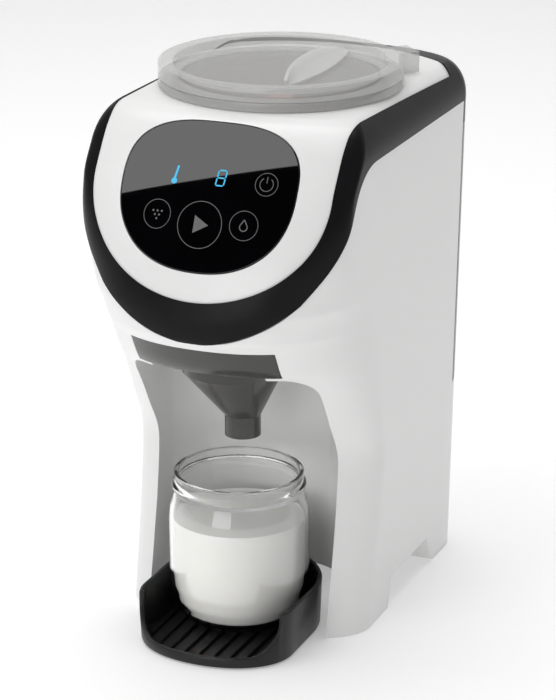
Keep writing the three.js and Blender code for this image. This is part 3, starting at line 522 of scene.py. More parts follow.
def band_profile(shift):
    """Everything in front of and above the band's lower edge, as (y, z) points."""
    setback = FACE_DISTANCE - BAND_SETBACK + shift
    side_z = BAND_SIDE_Z + shift

    def line_y(z):
        return (z * math.sin(FACE_TILT) - setback) / math.cos(FACE_TILT)

    reach = BAND_BEND_R * math.tan(math.pi / 4 - FACE_TILT / 2)
    bend_z = side_z - reach * math.cos(FACE_TILT)
    start = Vector((line_y(side_z) + reach, side_z))
    corner = Vector((line_y(side_z), side_z))
    end = Vector((line_y(bend_z), bend_z))
    points = [(FAR, side_z)] + [tuple(p) for p in bend_between(start, corner, end, 16)]
    return points + [(line_y(BELOW_CHIN_Z), BELOW_CHIN_Z), (-FAR, BELOW_CHIN_Z), (-FAR, FAR), (FAR, FAR)]


def sideways(outline, x0, x1):
    """An outline drawn in (y, z), extruded along x."""
    return prism(outline, ACROSS * x0, Vector((0, 1, 0)), Vector((0, 0, 1)), ACROSS * (x1 - x0))


def forwards(outline, y0, y1):
    """An outline drawn in (x, z), extruded along y."""
    return prism(outline, Vector((0, y0, 0)), ACROSS, Vector((0, 0, 1)), Vector((0, y1 - y0, 0)))


def plan(outline, z0, z1):
    """An outline drawn in (x, y), extruded upwards."""
    return prism(outline, Vector((0, 0, z0)), ACROSS, Vector((0, 1, 0)), Vector((0, 0, z1 - z0)))


def band_outline(margin):
    half = BAND_HALF_WIDTH + margin
    points = [(-x, FACE_WIDEST - drop) for x, drop in arch(half, BAND_DROP + margin, BAND_POWER, 96)]
    return points + [(half, FAR), (-half, FAR)]


def band_space(margin):
    return meet(sideways(band_profile(-margin), -FAR, FAR), face_prism(band_outline(margin), FAR, -FAR))


def top_region(margin):
    reach = cylinder(TOP_ARC_R + margin, 0, FAR, count=180)
    ahead = box(-FAR, FAR, -FAR, 0, -1, FAR + 1)
    return meet(face_prism(face_outline(margin), FAR, -FAR), join(reach, ahead))


def quarter(x, y, r, start, steps=14):
    """Points of a quarter circle about x, y from the angle start."""
    turn = math.pi / 2 / steps
    angles = [start + i * turn for i in range(steps + 1)]
    return [(x + r * math.cos(angle), y + r * math.sin(angle)) for angle in angles]


def bay(margin):
    half = BAY_HALF_WIDTH + margin
    back = BAY_BACK_Y + margin
    top = BAY_TOP_Z + margin
    from_above = [(-half, -FAR), (half, -FAR)]
    from_above += quarter(half - BAY_BACK_R, back - BAY_BACK_R, BAY_BACK_R, 0)
    from_above += quarter(BAY_BACK_R - half, back - BAY_BACK_R, BAY_BACK_R, math.pi / 2)
    from_front = [(-half, -FAR), (half, -FAR)]
    from_front += quarter(half - BAY_CORNER_R, top - BAY_CORNER_R, BAY_CORNER_R, 0)
    from_front += quarter(BAY_CORNER_R - half, top - BAY_CORNER_R, BAY_CORNER_R, math.pi / 2)
    from_side = [(-FAR, -FAR), (back, -FAR)]
    from_side += quarter(back - BAY_BACK_R, top - BAY_BACK_R, BAY_BACK_R, 0)
    from_side += [(-FAR, top)]
    upright = plan(from_above, -FAR - 1, FAR)
    return meet(upright, forwards(from_front, -FAR - 1, FAR), sideways(from_side, -FAR, FAR))


def tank_space(margin):
    def floor_at(y):
        return TANK_FLOOR_Z + (y - TANK_EDGE_Y) * math.tan(TANK_FLOOR_SLOPE) - margin

    def above_floor(y0, y1):
        return [(y0, floor_at(y0)), (y1, floor_at(y1)), (y1, FAR), (y0, FAR)]

    nest_half = TANK_NEST_HALF_WIDTH + margin
    nest = above_floor(TANK_WALL_Y + WALL - margin, TANK_EDGE_Y + 2 * WALL)
    rear = above_floor(TANK_EDGE_Y + GAP - margin, FAR)
    return join(sideways(nest, -nest_half, nest_half), sideways(rear, -FAR, FAR))


def drawer_slot(margin):
    half = DRAWER_HALF_WIDTH + margin
    return box(-half, half, -FAR, DRAWER_BACK_Y + 2 * WALL + margin, DRAWER_Z - margin, DRAWER_TOP_Z + margin)


above_band = band_space(0)

# ------------------------------------------------------------------ finishing pieces


def shade(mesh, like, sharp):
    """Smooth shading with sharp edges, with the normals of like where the mesh was cut from it."""
    mesh.shade_smooth()
    mesh.set_sharp_from_angle(angle=math.radians(sharp))
    if like is None:
        return
    chosen = [corner.vector.copy() for corner in mesh.corner_normals]
    for polygon in mesh.polygons:
        for i in polygon.loop_indices:
            place = mesh.vertices[mesh.loops[i].vertex_index].co
            chosen[i] = like.normal_at(place, polygon.normal) or chosen[i]
    mesh.normals_split_custom_set(chosen)


def piece(name, shape, look, rides, stands_for=(), like=None, sharp=32):
    """Turns a working object into a finished piece of the model."""
    shade(shape.data, like, sharp)
    shape.data.transform(Matrix.Translation((0, AXIS_Y * METRES, 0)) @ Matrix.Scale(METRES, 4))
    shape.name = name
    shape.data.name = name
    shape.data.materials.clear()
    shape.data.materials.append(look.material)
    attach(shape, rides)
    if stands_for:
        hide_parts(*stands_for)
    return shape


# ------------------------------------------------------------------ materials


class Look:
    """A procedural material: a Principled shader with noise for tone, roughness and relief."""

    def __init__(self, name, color, roughness):
        self.material = bpy.data.materials.new(name)
        self.material.use_nodes = True
        self.tree = self.material.node_tree
        self.shader = self.tree.nodes["Principled BSDF"]
        self.color = color
        self.place = self.tree.nodes.new("ShaderNodeTexCoord").outputs["Object"]
        self.shader.inputs["Base Color"].default_value = (*color, 1)
        self.shader.inputs["Roughness"].default_value = roughness
        self.roughness = roughness

    def noise(self, scale, detail=2.0, stretch=(1, 1, 1)):
        """A noise texture fixed to the piece, as a value from 0 to 1."""
        mapping = self.tree.nodes.new("ShaderNodeMapping")
        mapping.inputs["Scale"].default_value = stretch
        self.tree.links.new(self.place, mapping.inputs["Vector"])
        texture = self.tree.nodes.new("ShaderNodeTexNoise")
        texture.inputs["Scale"].default_value = scale
        texture.inputs["Detail"].default_value = detail
        self.tree.links.new(mapping.outputs["Vector"], texture.inputs["Vector"])
        return texture.outputs["Fac"]

    def between(self, value, low, high):
        """The noise's usual values, spread from low to high."""
        node = self.tree.nodes.new("ShaderNodeMapRange")
        node.inputs["From Min"].default_value = 0.3
        node.inputs["From Max"].default_value = 0.7
        node.inputs["To Min"].default_value = low
        node.inputs["To Max"].default_value = high
        self.tree.links.new(value, node.inputs["Value"])
        return node.outputs["Result"]

    def tones(self, scale, spread, tint=(1, 1, 1)):
        """Lets the colour wander by spread either way, towards tint where it is lighter."""
        ramp = self.tree.nodes.new("ShaderNodeValToRGB")
        ramp.color_ramp.elements[0].position = 0.3
        ramp.color_ramp.elements[1].position = 0.7
        dark = [c * (1 - spread) for c in self.color]
        light = [min(c * (1 + spread) * t, 1) for c, t in zip(self.color, tint)]
        ramp.color_ramp.elements[0].color = (*dark, 1)
        ramp.color_ramp.elements[1].color = (*light, 1)
        self.tree.links.new(self.noise(scale, 3), ramp.inputs["Fac"])
        self.tree.links.new(ramp.outputs["Color"], self.shader.inputs["Base Color"])
        return self

    def rubbed(self, scale, spread, stretch=(1, 1, 1)):
        """Lets the roughness wander, as on a handled surface."""
        value = self.between(self.noise(scale, 4, stretch), self.roughness - spread, self.roughness + spread)
        self.tree.links.new(value, self.shader.inputs["Roughness"])
        return self

    def grain(self, scale, depth, strength=1.0, stretch=(1, 1, 1)):
        """Fine moulded relief, its depth in metres."""
        bump = self.tree.nodes.new("ShaderNodeBump")
        bump.inputs["Strength"].default_value = strength
        bump.inputs["Distance"].default_value = depth
        self.tree.links.new(self.noise(scale, 2, stretch), bump.inputs["Height"])
        self.tree.links.new(bump.outputs["Normal"], self.shader.inputs["Normal"])
        return self

    def lets_lamps_through(self):
        """Shadow rays pass, so that what lies behind clear glass is lit."""
        output = self.tree.nodes["Material Output"]
        path = self.tree.nodes.new("ShaderNodeLightPath")
        clear = self.tree.nodes.new("ShaderNodeBsdfTransparent")
        mixed = self.tree.nodes.new("ShaderNodeMixShader")
        self.tree.links.new(path.outputs["Is Shadow Ray"], mixed.inputs["Fac"])
        self.tree.links.new(self.shader.outputs["BSDF"], mixed.inputs[1])
        self.tree.links.new(clear.outputs["BSDF"], mixed.inputs[2])
        self.tree.links.new(mixed.outputs["Shader"], output.inputs["Surface"])
        return self

    def set(self, **values):
        """Gives the shader's sockets fixed values, named with _ for each space."""
        for name, value in values.items():
            self.shader.inputs[name.replace("_", " ")].default_value = value
        return self


white_shell = Look("white_shell", (0.86, 0.86, 0.855), 0.3).tones(24, 0.003).rubbed(90, 0.012)
white_shell.grain(2600, 0.000004, 0.2)
black_trim = Look("black_trim", (0.007, 0.007, 0.008), 0.3).tones(60, 0.1).rubbed(120, 0.02)
black_trim.grain(2400, 0.000004, 0.2).set(Specular_IOR_Level=0.12)
glass_panel = Look("glass_panel", (0.0015, 0.0015, 0.002), 0.012).tones(30, 0.2).rubbed(120, 0.002)
print_grey = Look("print_grey", (0.13, 0.13, 0.13), 0.5).tones(900, 0.12).rubbed(900, 0.1)
display_glow = Look("display_glow", (0.02, 0.30, 0.45), 0.4).tones(700, 0.1).rubbed(900, 0.1)
display_glow.set(Emission_Color=(0.06, 0.36, 0.62, 1), Emission_Strength=0.75)
display_dark = Look("display_dark", (0.004, 0.010, 0.014), 0.12).tones(200, 0.2).rubbed(300, 0.03)
lid_plastic = Look("clear_lid", (0.64, 0.64, 0.63), 0.08).tones(50, 0.01).rubbed(120, 0.02).set(Alpha=0.42)
# The grip is the lid's clear plastic made lighter: a painted highlight on its ridge and dished pocket.
grip_plastic_painted_highlight = Look("clear_grip_painted_highlight", (0.86, 0.86, 0.85), 0.08).tones(50, 0.01).rubbed(120, 0.02).set(Alpha=0.5)
hopper_plastic = Look("clear_hopper", (0.66, 0.66, 0.65), 0.14).tones(50, 0.01).rubbed(120, 0.02)
hopper_plastic.set(Alpha=0.5)
peach_plastic = Look("peach_plastic", (0.85, 0.36, 0.22), 0.35).tones(60, 0.04).rubbed(260, 0.06)
peach_plastic.grain(2200, 0.00002, 0.3)
smoke_plastic = Look("smoke_plastic", (0.075, 0.075, 0.07), 0.2).tones(70, 0.06).rubbed(240, 0.05)
smoke_plastic.grain(2200, 0.00002, 0.25).set(Transmission_Weight=0.35, IOR=1.48)
tank_plastic = Look("tank_plastic", (0.03, 0.03, 0.029), 0.2).tones(50, 0.04).rubbed(120, 0.02)
tank_plastic.set(Transmission_Weight=0.3, IOR=1.45, Specular_IOR_Level=0.3)
tray_plastic = Look("tray_plastic", (0.010, 0.010, 0.011), 0.36).tones(90, 0.15).rubbed(160, 0.03)
tray_plastic.grain(3000, 0.00001, 0.3).set(Specular_IOR_Level=0.35)
jar_glass = Look("jar_glass", (0.985, 0.99, 0.987), 0.02).tones(25, 0.003).rubbed(120, 0.008)
jar_glass.set(Transmission_Weight=1.0, IOR=1.45).lets_lamps_through()
formula = Look("mixed_formula", (0.93, 0.92, 0.88), 0.3).tones(30, 0.004).rubbed(60, 0.02)
formula.set(Subsurface_Weight=0.3, Subsurface_Radius=(0.006, 0.005, 0.004), Subsurface_Scale=1.0)
steel = Look("steel", (0.55, 0.56, 0.57), 0.32).tones(80, 0.06).rubbed(300, 0.08, (1, 1, 12))
steel.grain(900, 0.00002, 0.4, (1, 1, 10)).set(Metallic=1.0)
copper = Look("copper", (0.72, 0.40, 0.24), 0.35).tones(200, 0.08).rubbed(400, 0.08).set(Metallic=1.0)
circuit = Look("circuit_green", (0.015, 0.09, 0.035), 0.4).tones(500, 0.2).rubbed(600, 0.08)
circuit.grain(1500, 0.00004)
grey_plastic = Look("grey_plastic", (0.25, 0.26, 0.27), 0.5).tones(70, 0.04).rubbed(240, 0.07)
grey_plastic.grain(1800, 0.00005, 0.6)
white_plastic = Look("white_plastic", (0.78, 0.78, 0.76), 0.42).tones(60, 0.02).rubbed(240, 0.06)
white_plastic.grain(1800, 0.00004, 0.5)
inner_black = Look("inner_black", (0.018, 0.018, 0.018), 0.5).tones(90, 0.2).rubbed(240, 0.08)
inner_black.grain(1800, 0.00005, 0.6)
rubber = Look("rubber", (0.018, 0.018, 0.018), 0.75).tones(120, 0.25).rubbed(400, 0.08)
rubber.grain(2600, 0.00008, 0.8)
silicone = Look("silicone", (0.60, 0.60, 0.58), 0.4).tones(90, 0.03).rubbed(240, 0.06)
silicone.grain(1400, 0.00004, 0.5).set(Transmission_Weight=0.3)

# ------------------------------------------------------------------ housing


def hatch(half, front, rear, margin):
    """One of the openings that the base plates close."""
    more = WALL if margin > 0 else 0
    return box(-half - margin, half + margin, front - margin, rear + margin,
               FOOT_TOP_Z - more, FLOOR_TOP_Z - 0.5 + more)


SHELL_NODES = ["base_pan", "rear_housing", "drawer_frame", "bay_liner", "housing"]


def make_shell():
    """The white body, hollow for the machinery, with its bay, tank space and drawer slot."""
    machinery = meet(copy(inner), box(-FAR, FAR, -FAR, TANK_WALL_Y, FLOOR_TOP_Z, FAR))
    cut(machinery, bay(WALL), drawer_slot(WALL))
    rear_space = meet(copy(inner), box(-FAR, FAR, TANK_WALL_Y + WALL, FAR, FLOOR_TOP_Z, REAR_SPACE_TOP_Z))
    underneath = box(-BAY_HALF_WIDTH, BAY_HALF_WIDTH, -FAR, REAR_SKIRT_Y, -1, FOOT_TOP_Z)
    notch = sideways([(NOTCH_AT_BENCH[0], -1), (NOTCH_AT_BENCH[1], -1), (NOTCH_AT_TOP[1], FOOT_TOP_Z),
                      (NOTCH_AT_TOP[0], FOOT_TOP_Z)], -FAR, FAR)
    funnel_path = box(-FUNNEL_R - 1, FUNNEL_R + 1, -FAR, FUNNEL_Y + FUNNEL_R + 2,
                      BAY_TOP_Z - 2 * WALL, DRAWER_Z + 1)
    shell = cut(copy(outer), band_space(GAP), machinery, rear_space, underneath, notch,
                bay(0), tank_space(GAP), drawer_slot(GAP), funnel_path)
    for place in HATCHES:
        cut(shell, hatch(*place, GAP))
    roof = (DRAWER_TOP_Z - 1, DRAWER_TOP_Z + 2 * WALL)
    cut(shell, cylinder(CHUTE[1] + 2, *roof, 0, CHUTE[0]),
        cylinder(NOZZLE[2] + 0.5, *roof, NOZZLE[0], NOZZLE[1]),
        cylinder_along_y(PORT[2] + 2, TANK_WALL_Y - WALL, TANK_WALL_Y + 2 * WALL, PORT[0], PORT[1]),
        cylinder_along_y(GLAND_R + GAP, REAR_Y - 4 * WALL, REAR_Y + WALL, 0, GLAND_Z))
    return cut(shell, *(cylinder(FOOT_R + GAP, 0, FOOT_RECESS_Z, x, y) for x, y in FOOT_PLACES))


piece("shell", make_shell(), white_shell, "housing", SHELL_NODES, outer_surface)

proud = body(-BAND_PROUD)
proud_surface = SmoothSurface(proud)
band = meet(proud, box(-FAR, FAR, -FAR, TANK_EDGE_Y, -1, TOP_Z), keep=[above_band])
band = cut(band, top_region(GAP), keep=[inner])
piece("face_band", band, black_trim, "housing", ["bezel_band"], proud_surface)

cover = meet(copy(outer), top_region(0), keep=[above_band])
face_side = box(-FAR, FAR, -FAR, -HOPPER_R, 0, FAR)
recess = cut(face_prism(panel_outline(GAP), FAR, -FAR), body(PANEL_THICKNESS + GAP))
cut(cover, meet(recess, face_side), face_prism(panel_outline(-6), 4 * WALL, -4 * WALL),
    cylinder(HOPPER_R + 1.2, SHOULDER_Z, FAR, count=160), keep=[inner])
piece("face_cover", cover, white_shell, "housing", ["top_cover"], outer_surface)

# ------------------------------------------------------------------ touch panel


def touch_glass():
    """The glass, from its back over a rounded rim to rings that shrink towards its middle."""
    rings = [[on_face(x * 0.985, v, -PANEL_THICKNESS) for x, v in panel_outline(-0.6)]]
    for margin, lift in ((-0.05, -PANEL_THICKNESS), (-0.05, -0.5), (-0.2, -0.15), (GLASS_EDGE, 0)):
        rings.append([on_face(x, v, lift) for x, v in panel_outline(margin)])
    for share in (0.94, 0.86, 0.76, 0.65, 0.53, 0.41, 0.3, 0.2, 0.11, 0.04):
        rings.append([on_face(x * share, FACE_WIDEST + (v - FACE_WIDEST) * share, 0)
                      for x, v in panel_outline(GLASS_EDGE)])
    return loft(rings)


class FlatFront:
    """Shading normals of a flat front, for glass that mirrors without a ripple."""

    def normal_at(self, place, facing):
        return OUT_OF_FACE if facing.dot(OUT_OF_FACE) > 0.9 else None


piece("touch_glass", touch_glass(), glass_panel, "housing", ["control_panel"],
      FlatFront(), 50)

PRINT_LIFT = 0.15  # of the printed marks from the glass


def printed(name, patches, look):
    """Thin printed shapes that lie on the glass, each patch a list of (x, v) points."""
    points = []
    faces = []
    for patch in patches:
        faces.append(tuple(range(len(points), len(points) + len(patch))))
        points += [on_face(x, v, PRINT_LIFT) for x, v in patch]
    return piece(name, draft(points, faces), look, "housing")


def arc_strip(x, v, r, width, start=0.0, end=2 * math.pi, steps=64):
    """An arc of the given width about x, v, as quads."""
    def spot(radius, angle):
        return (x + radius * math.cos(angle), v + radius * math.sin(angle))

    hole = r - width / 2
    rim = r + width / 2
    angles = [start + (end - start) * i / steps for i in range(steps + 1)]
    return [[spot(hole, a), spot(rim, a), spot(rim, b), spot(hole, b)] for a, b in zip(angles, angles[1:])]


def bar(x0, v0, x1, v1, width):
    """A straight stroke, as one quad."""
    along = Vector((x1 - x0, v1 - v0)).normalized()
    side = Vector((-along.y, along.x)) * width / 2
    ends = [Vector((x0, v0)), Vector((x1, v1))]
    return [[tuple(ends[0] - side), tuple(ends[1] - side), tuple(ends[1] + side), tuple(ends[0] + side)]]


def disc(x, v, r, steps=32):
    """A filled dot."""
    turn = 2 * math.pi / steps
    return [[(x + r * math.cos(i * turn), v + r * math.sin(i * turn)) for i in range(steps)]]


DROP_STROKE = 0.55


def droplet(x, v, r):
    """An outlined drop: a round foot that narrows to a point."""
    lean = math.radians(38)
    tip = (x, v + 1.9 * r)
    left = (x - r * math.cos(lean), v + r * math.sin(lean))
    right = (x + r * math.cos(lean), v + r * math.sin(lean))
    foot = arc_strip(x, v, r, DROP_STROKE, math.pi - lean, 2 * math.pi + lean, 32)
    return foot + bar(*left, *tip, DROP_STROKE) + bar(*right, *tip, DROP_STROKE)


def triangle(x, v, half_height, back, strips):
    """A triangle that points right from back, in strips 1 mm wide that follow the curve of the glass."""
    quads = []
    for i in range(strips):
        left = back + i
        right = left + 1
        tall = half_height * (strips - i) / strips
        short = half_height * (strips - i - 1) / strips
        quads.append([(x + left, v - tall), (x + right, v - short),
                      (x + right, v + short), (x + left, v + tall)])
    return quads


# Keys as (x, v), with the radii of their rings.
LEFT_KEY = (-24.3, -12.0)
START_KEY = (0.0, -15.1)
RIGHT_KEY = (23.6, -12.9)
POWER_KEY = (31.5, 9.3)
SIDE_KEY_R = 7.5
START_KEY_R = 12.0
POWER_KEY_R = 5.9
RING_STROKE = 0.32
START_RING_STROKE = 0.35
POWER_STROKE = 0.4
DOT_R = 0.55

key_rings = arc_strip(*LEFT_KEY, SIDE_KEY_R, RING_STROKE)
key_rings += arc_strip(*START_KEY, START_KEY_R, START_RING_STROKE)
key_rings += arc_strip(*RIGHT_KEY, SIDE_KEY_R, RING_STROKE)
key_rings += arc_strip(*POWER_KEY, POWER_KEY_R, RING_STROKE)
key_rings += arc_strip(*POWER_KEY, 3.5, POWER_STROKE, math.radians(125), math.radians(415), 40)
key_rings += bar(POWER_KEY[0], POWER_KEY[1] + 0.6, POWER_KEY[0], POWER_KEY[1] + 4, POWER_STROKE)
printed("key_rings", key_rings, print_grey)

symbols = triangle(*START_KEY, half_height=4.6, back=-3.2, strips=8)
symbols += droplet(RIGHT_KEY[0], RIGHT_KEY[1] - 0.8, 2.0)
for row, across in ((1.6, (-2.4, 0, 2.4)), (-0.4, (-1.2, 1.2)), (-2.4, (0,))):
    for x in across:
        symbols += disc(LEFT_KEY[0] + x, LEFT_KEY[1] + row, DOT_R, 16)
printed("key_symbols", symbols, print_grey)

DIGIT = (7.0, 9.8)
DIGIT_HALF_HEIGHT = 4.0
DIGIT_HALF_WIDTH = 2.2
DIGIT_STROKE = 0.7
SLANT = 0.10
THERMOMETER = (-18.3, 5.9)
BULB_R = 1.6


def slanted(x, v):
    return (DIGIT[0] + x + SLANT * v, DIGIT[1] + v)


def digit_eight():
    """A seven-segment figure with all its segments lit."""
    half_height = DIGIT_HALF_HEIGHT
    half_width = DIGIT_HALF_WIDTH
    gap = DIGIT_STROKE / 2
    quads = []
    for v in (-half_height, 0, half_height):
        quads += bar(*slanted(gap - half_width, v), *slanted(half_width - gap, v), DIGIT_STROKE)
    for x in (-half_width, half_width):
        for v in (-half_height, 0):
            quads += bar(*slanted(x, v + gap), *slanted(x, v + half_height - gap), DIGIT_STROKE)
    return quads


glowing = digit_eight() + disc(*THERMOMETER, BULB_R)
glowing += bar(THERMOMETER[0], THERMOMETER[1] + 1.2, THERMOMETER[0] + 1.0, THERMOMETER[1] + 8, 1.15)
printed("display_digits", glowing, display_glow)

# ------------------------------------------------------------------ hopper and lid

inside_r = HOPPER_R - HOPPER_WALL
hopper = turned(rounded([
    (SHAFT_HOLE_R, HOPPER_BOTTOM_Z + 1), (SHAFT_HOLE_R, HOPPER_BOTTOM_Z), (HOPPER_R - 3.5, HOPPER_BOTTOM_Z),
    (HOPPER_R, HOPPER_BOTTOM_Z + 7), (HOPPER_R, COLLAR_Z), (RIM_R, COLLAR_Z), (RIM_R, LID_Z - GAP),
    (inside_r, LID_Z - GAP), (inside_r, HOPPER_BOTTOM_Z + 7.5), (HOPPER_R - 4.5, HOPPER_BOTTOM_Z + 2.5),
    (SHAFT_HOLE_R, HOPPER_BOTTOM_Z + 2.5), (SHAFT_HOLE_R, HOPPER_BOTTOM_Z + 1),
], 0.7), count=128)
cut(hopper, cylinder(OUTLET_R, HOPPER_BOTTOM_Z - 5, HOPPER_BOTTOM_Z + 5, 0, OUTLET_Y, 48))
piece("powder_hopper", hopper, hopper_plastic, "hopper", ["hopper"])

recess_r = RIM_R - LID_RING_WIDTH
lid_floor = LID_TOP_Z - LID_DISH_DEPTH
skirt_r = inside_r - 0.5
skirt_z = LID_Z - LID_SKIRT_DEPTH
lid = turned([(0, LID_Z)] + rounded([
    (skirt_r - 4, LID_Z), (skirt_r - LID_SKIRT_WALL, LID_Z), (skirt_r - LID_SKIRT_WALL, skirt_z),
    (skirt_r, skirt_z), (skirt_r, LID_Z), (RIM_R, LID_Z), (RIM_R, LID_TOP_Z), (recess_r, LID_TOP_Z),
    (recess_r - 0.8, lid_floor), (recess_r - 6, lid_floor),
], 0.9) + [(0, lid_floor)], count=128)


def lid_grip():
    """A curved finger grip across the lid, with a dished pocket on its right."""
    sections = []
    low = lid_floor - 0.6
    for t in (i / 24 for i in range(25)):
        y = GRIP_FRONT_Y + GRIP_LENGTH * t
        ridge = 10.1 - 4.2 * math.sin(math.pi * t) + 6.5 * (1 - t) ** 3 + 4 * t ** 4
        reach = 1.5 + 13.5 * math.sin(math.pi * clamp((t - 0.04) / 0.93, 0, 1)) ** 0.8
        rise = math.sin(math.pi * clamp(0.06 + t, 0, 1)) ** 0.35
        crest = lid_floor + 0.2 + (LID_TOP_Z - 0.8 - lid_floor) * rise
        foot = ridge + 1.1
        dish = [(foot + reach * s, lid_floor + 0.15 + (crest - lid_floor) * (1 - s) ** 2.2)
                for s in (1, 0.6, 0.35, 0.15)]
        outline = [(ridge - 0.9, low), (foot + reach, low)] + dish
        outline += [(ridge + 0.9, crest), (ridge - 0.9, crest)]
        sections.append([Vector((x, y, z)) for x, z in outline])
    return loft([s[::-1] for s in sections])


tab = box(RIM_R - 2, TAB_REACH, -TAB_HALF_WIDTH, TAB_HALF_WIDTH, LID_Z + GAP, LID_TOP_Z - 1)
join(tab, box(RIM_R + 1, TAB_REACH, -TAB_HALF_WIDTH, TAB_HALF_WIDTH, COLLAR_Z + 0.6, LID_TOP_Z - 1))
tab.data.transform(Matrix.Rotation(TAB_ANGLE, 4, "Z"))
join(lid, tab)
piece("hopper_cap", lid, lid_plastic, "hopper_lid", ["hopper_lid"])
# The grip's lighter plastic is a painted highlight on the lid's ridge and pocket.
piece("hopper_cap_grip", lid_grip(), grip_plastic_painted_highlight, "hopper_lid")


def stirrer():
    """Four leaning blades on a post."""
    bottom = HOPPER_BOTTOM_Z + 8.5
    top = LID_Z - 12
    blade = [(0, bottom), (46, bottom), (48, bottom + 2), (48, bottom + 9), (34, bottom + 34), (9, top),
             (0, top)]
    made = turned(rounded([(0, bottom), (7, bottom), (7, top), (0, top)], 1.0), count=64)
    for quarter_turn in range(4):
        arm = forwards(blade, -1.1, 1.1)
        arm.data.transform(Matrix.Rotation(math.radians(45 + 90 * quarter_turn), 4, "Z"))
        join(made, arm)
    return made


piece("powder_stirrer", stirrer(), peach_plastic, "agitator", ["stirrer"])

# ------------------------------------------------------------------ mixing funnel

drawer_space = box(-DRAWER_HALF_WIDTH, DRAWER_HALF_WIDTH, -FAR, FUNNEL_Y, DRAWER_Z, DRAWER_TOP_Z)
drawer_front = cut(meet(copy(outer), drawer_space), body(DRAWER_FRONT_WALL))
piece("drawer_front", drawer_front, smoke_plastic, "funnel_drawer", ["funnel_cover"],
      outer_surface)


def funnel():
    """The cone and its spout, under a deck with a skirt on either side."""
    top = DRAWER_TOP_Z - WALL
    half = DRAWER_HALF_WIDTH - 0.6
    deck = meet(body(2.7), box(-half, half, -FAR, DRAWER_BACK_Y, top - 2.4, top))
    for side in (-1, 1):
        edges = sorted((side * half, side * (half - 2.4)))
        join(deck, box(*edges, SKIRT_FRONT_Y, DRAWER_BACK_Y, DRAWER_Z, top - 1))

    def bowl(wall, low, high):
        rings = [
            circle(SPOUT_R - wall, low, 0, SPOUT_Y, 72),
            circle(SPOUT_R - wall, SPOUT_TOP_Z - 0.5 * wall, 0, SPOUT_Y, 72),
            circle(FUNNEL_RIM_R - wall, FUNNEL_RIM_Z, 0, FUNNEL_RIM_Y, 72),
            circle(FUNNEL_R - wall, top, 0, FUNNEL_Y, 72),
        ]
        if high > top:
            rings.append(circle(FUNNEL_R - wall, high, 0, FUNNEL_Y, 72))
        return loft(rings)

    return cut(join(deck, bowl(0, SPOUT_BOTTOM_Z, top)), bowl(FUNNEL_WALL, SPOUT_BOTTOM_Z - 1, top + 1))


piece("mixing_funnel", funnel(), smoke_plastic, "funnel_drawer", ["funnel"])

# ------------------------------------------------------------------ water tank


def water_tank():
    """The open tank, with the stub of its outlet low on its front."""
    outside = meet(tank_space(0), box(-FAR, FAR, 0, FAR, 0, TANK_TOP_Z), keep=[outer])
    inside = meet(tank_space(-TANK_WALL), body(TANK_WALL), box(-FAR, FAR, 0, FAR, 0, TANK_TOP_Z - TANK_WALL))
    mouth = box(-MOUTH_HALF, MOUTH_HALF, TOP_ARC_R + 2, REAR_Y - 7, TANK_TOP_Z - 2 * TANK_WALL, FAR)
    wall_in = TANK_WALL_Y + WALL
    x, z, r = PORT
    tank = join(cut(outside, inside), cylinder_along_y(r, TANK_WALL_Y - WALL + 1, wall_in + 1, x, z))
    bore = cylinder_along_y(r - PORT_WALL, TANK_WALL_Y - WALL, wall_in + 2 * TANK_WALL, x, z)
    return cut(tank, mouth, bore)


piece("tank_body", water_tank(), tank_plastic, "water_tank", ["water_tank"],
      outer_surface)

tank_cap = meet(copy(outer), box(-FAR, FAR, TANK_EDGE_Y + GAP, FAR, TANK_TOP_Z + GAP, TOP_Z + 1))
cut(tank_cap, top_region(GAP), keep=[inner])
piece("tank_cap", tank_cap, black_trim, "tank_lid", ["tank_lid"], outer_surface)

# ------------------------------------------------------------------ jar and tray

# Outlines of the jar and its contents as radius and height above the jar's bottom.
JAR_PUNT = [(0, 1.2), (12, 0.9), (17, 0)]
JAR_OUTSIDE = [(20, 0), (27, 1.5), (32.5, 6), (36, 13), (37.6, 21), (38, 30), (38, 58), (37.2, 66),
               (35.2, 72), (34.3, 75), (36.2, 76.6), (36.2, 78.4), (34.4, 80.2), (34.4, 84), (34.9, 84.7)]
JAR_RIM = [(34.4, 85.1), (32.8, 85.1)]
JAR_INSIDE = [(32.2, 84.6), (32, 75), (33.6, 70.5), (35.2, 65), (35.9, 58), (35.9, 30), (35.4, 21.5),
              (33.8, 14), (30.8, 8), (26, 4.2), (19.5, 3)]
FILL_WALL = [(0, 3.3), (19.3, 3.3), (25.8, 4.5), (30.5, 8.2), (33.5, 14.2), (35.1, 21.6), (35.6, 30),
             (35.6, 57.6)]
MENISCUS = [(35.1, 60.3), (34.6, 59.6), (33.4, 59.3), (0, 59.2)]


def on_tray(profile):
    """A body turned from a profile, standing where the jar stands."""
    return turned([(r, JAR_BOTTOM_Z + z) for r, z in profile], 0, JAR_Y, 128)


jar_body = on_tray(JAR_PUNT + rounded(JAR_OUTSIDE + JAR_RIM + JAR_INSIDE, 2.2, 3) + [(0, 3)])
piece("jar_body", jar_body, jar_glass, "jar", ["jar"], sharp=60)
jar_fill = on_tray(rounded(FILL_WALL + MENISCUS, 0.6, 2))
piece("jar_fill", jar_fill, formula, "jar", ["milk"], sharp=70)


def tray_ring(inset, z):
    """The tray's outline at a height, moved in by inset: round behind, flatter in front."""
    half = TRAY_HALF_WIDTH + TRAY_FLARE * z - inset
    back = arch(half, half, 2, 64)
    ahead = arch(half, TRAY_CORNER_Y - TRAY_FRONT_Y - inset, TRAY_FRONT_POWER, 128)
    ring = [Vector((TRAY_X + x, JAR_Y + y, z)) for x, y in back]
    return ring + [Vector((TRAY_X + x, TRAY_CORNER_Y - y, z)) for x, y in reversed(ahead)]


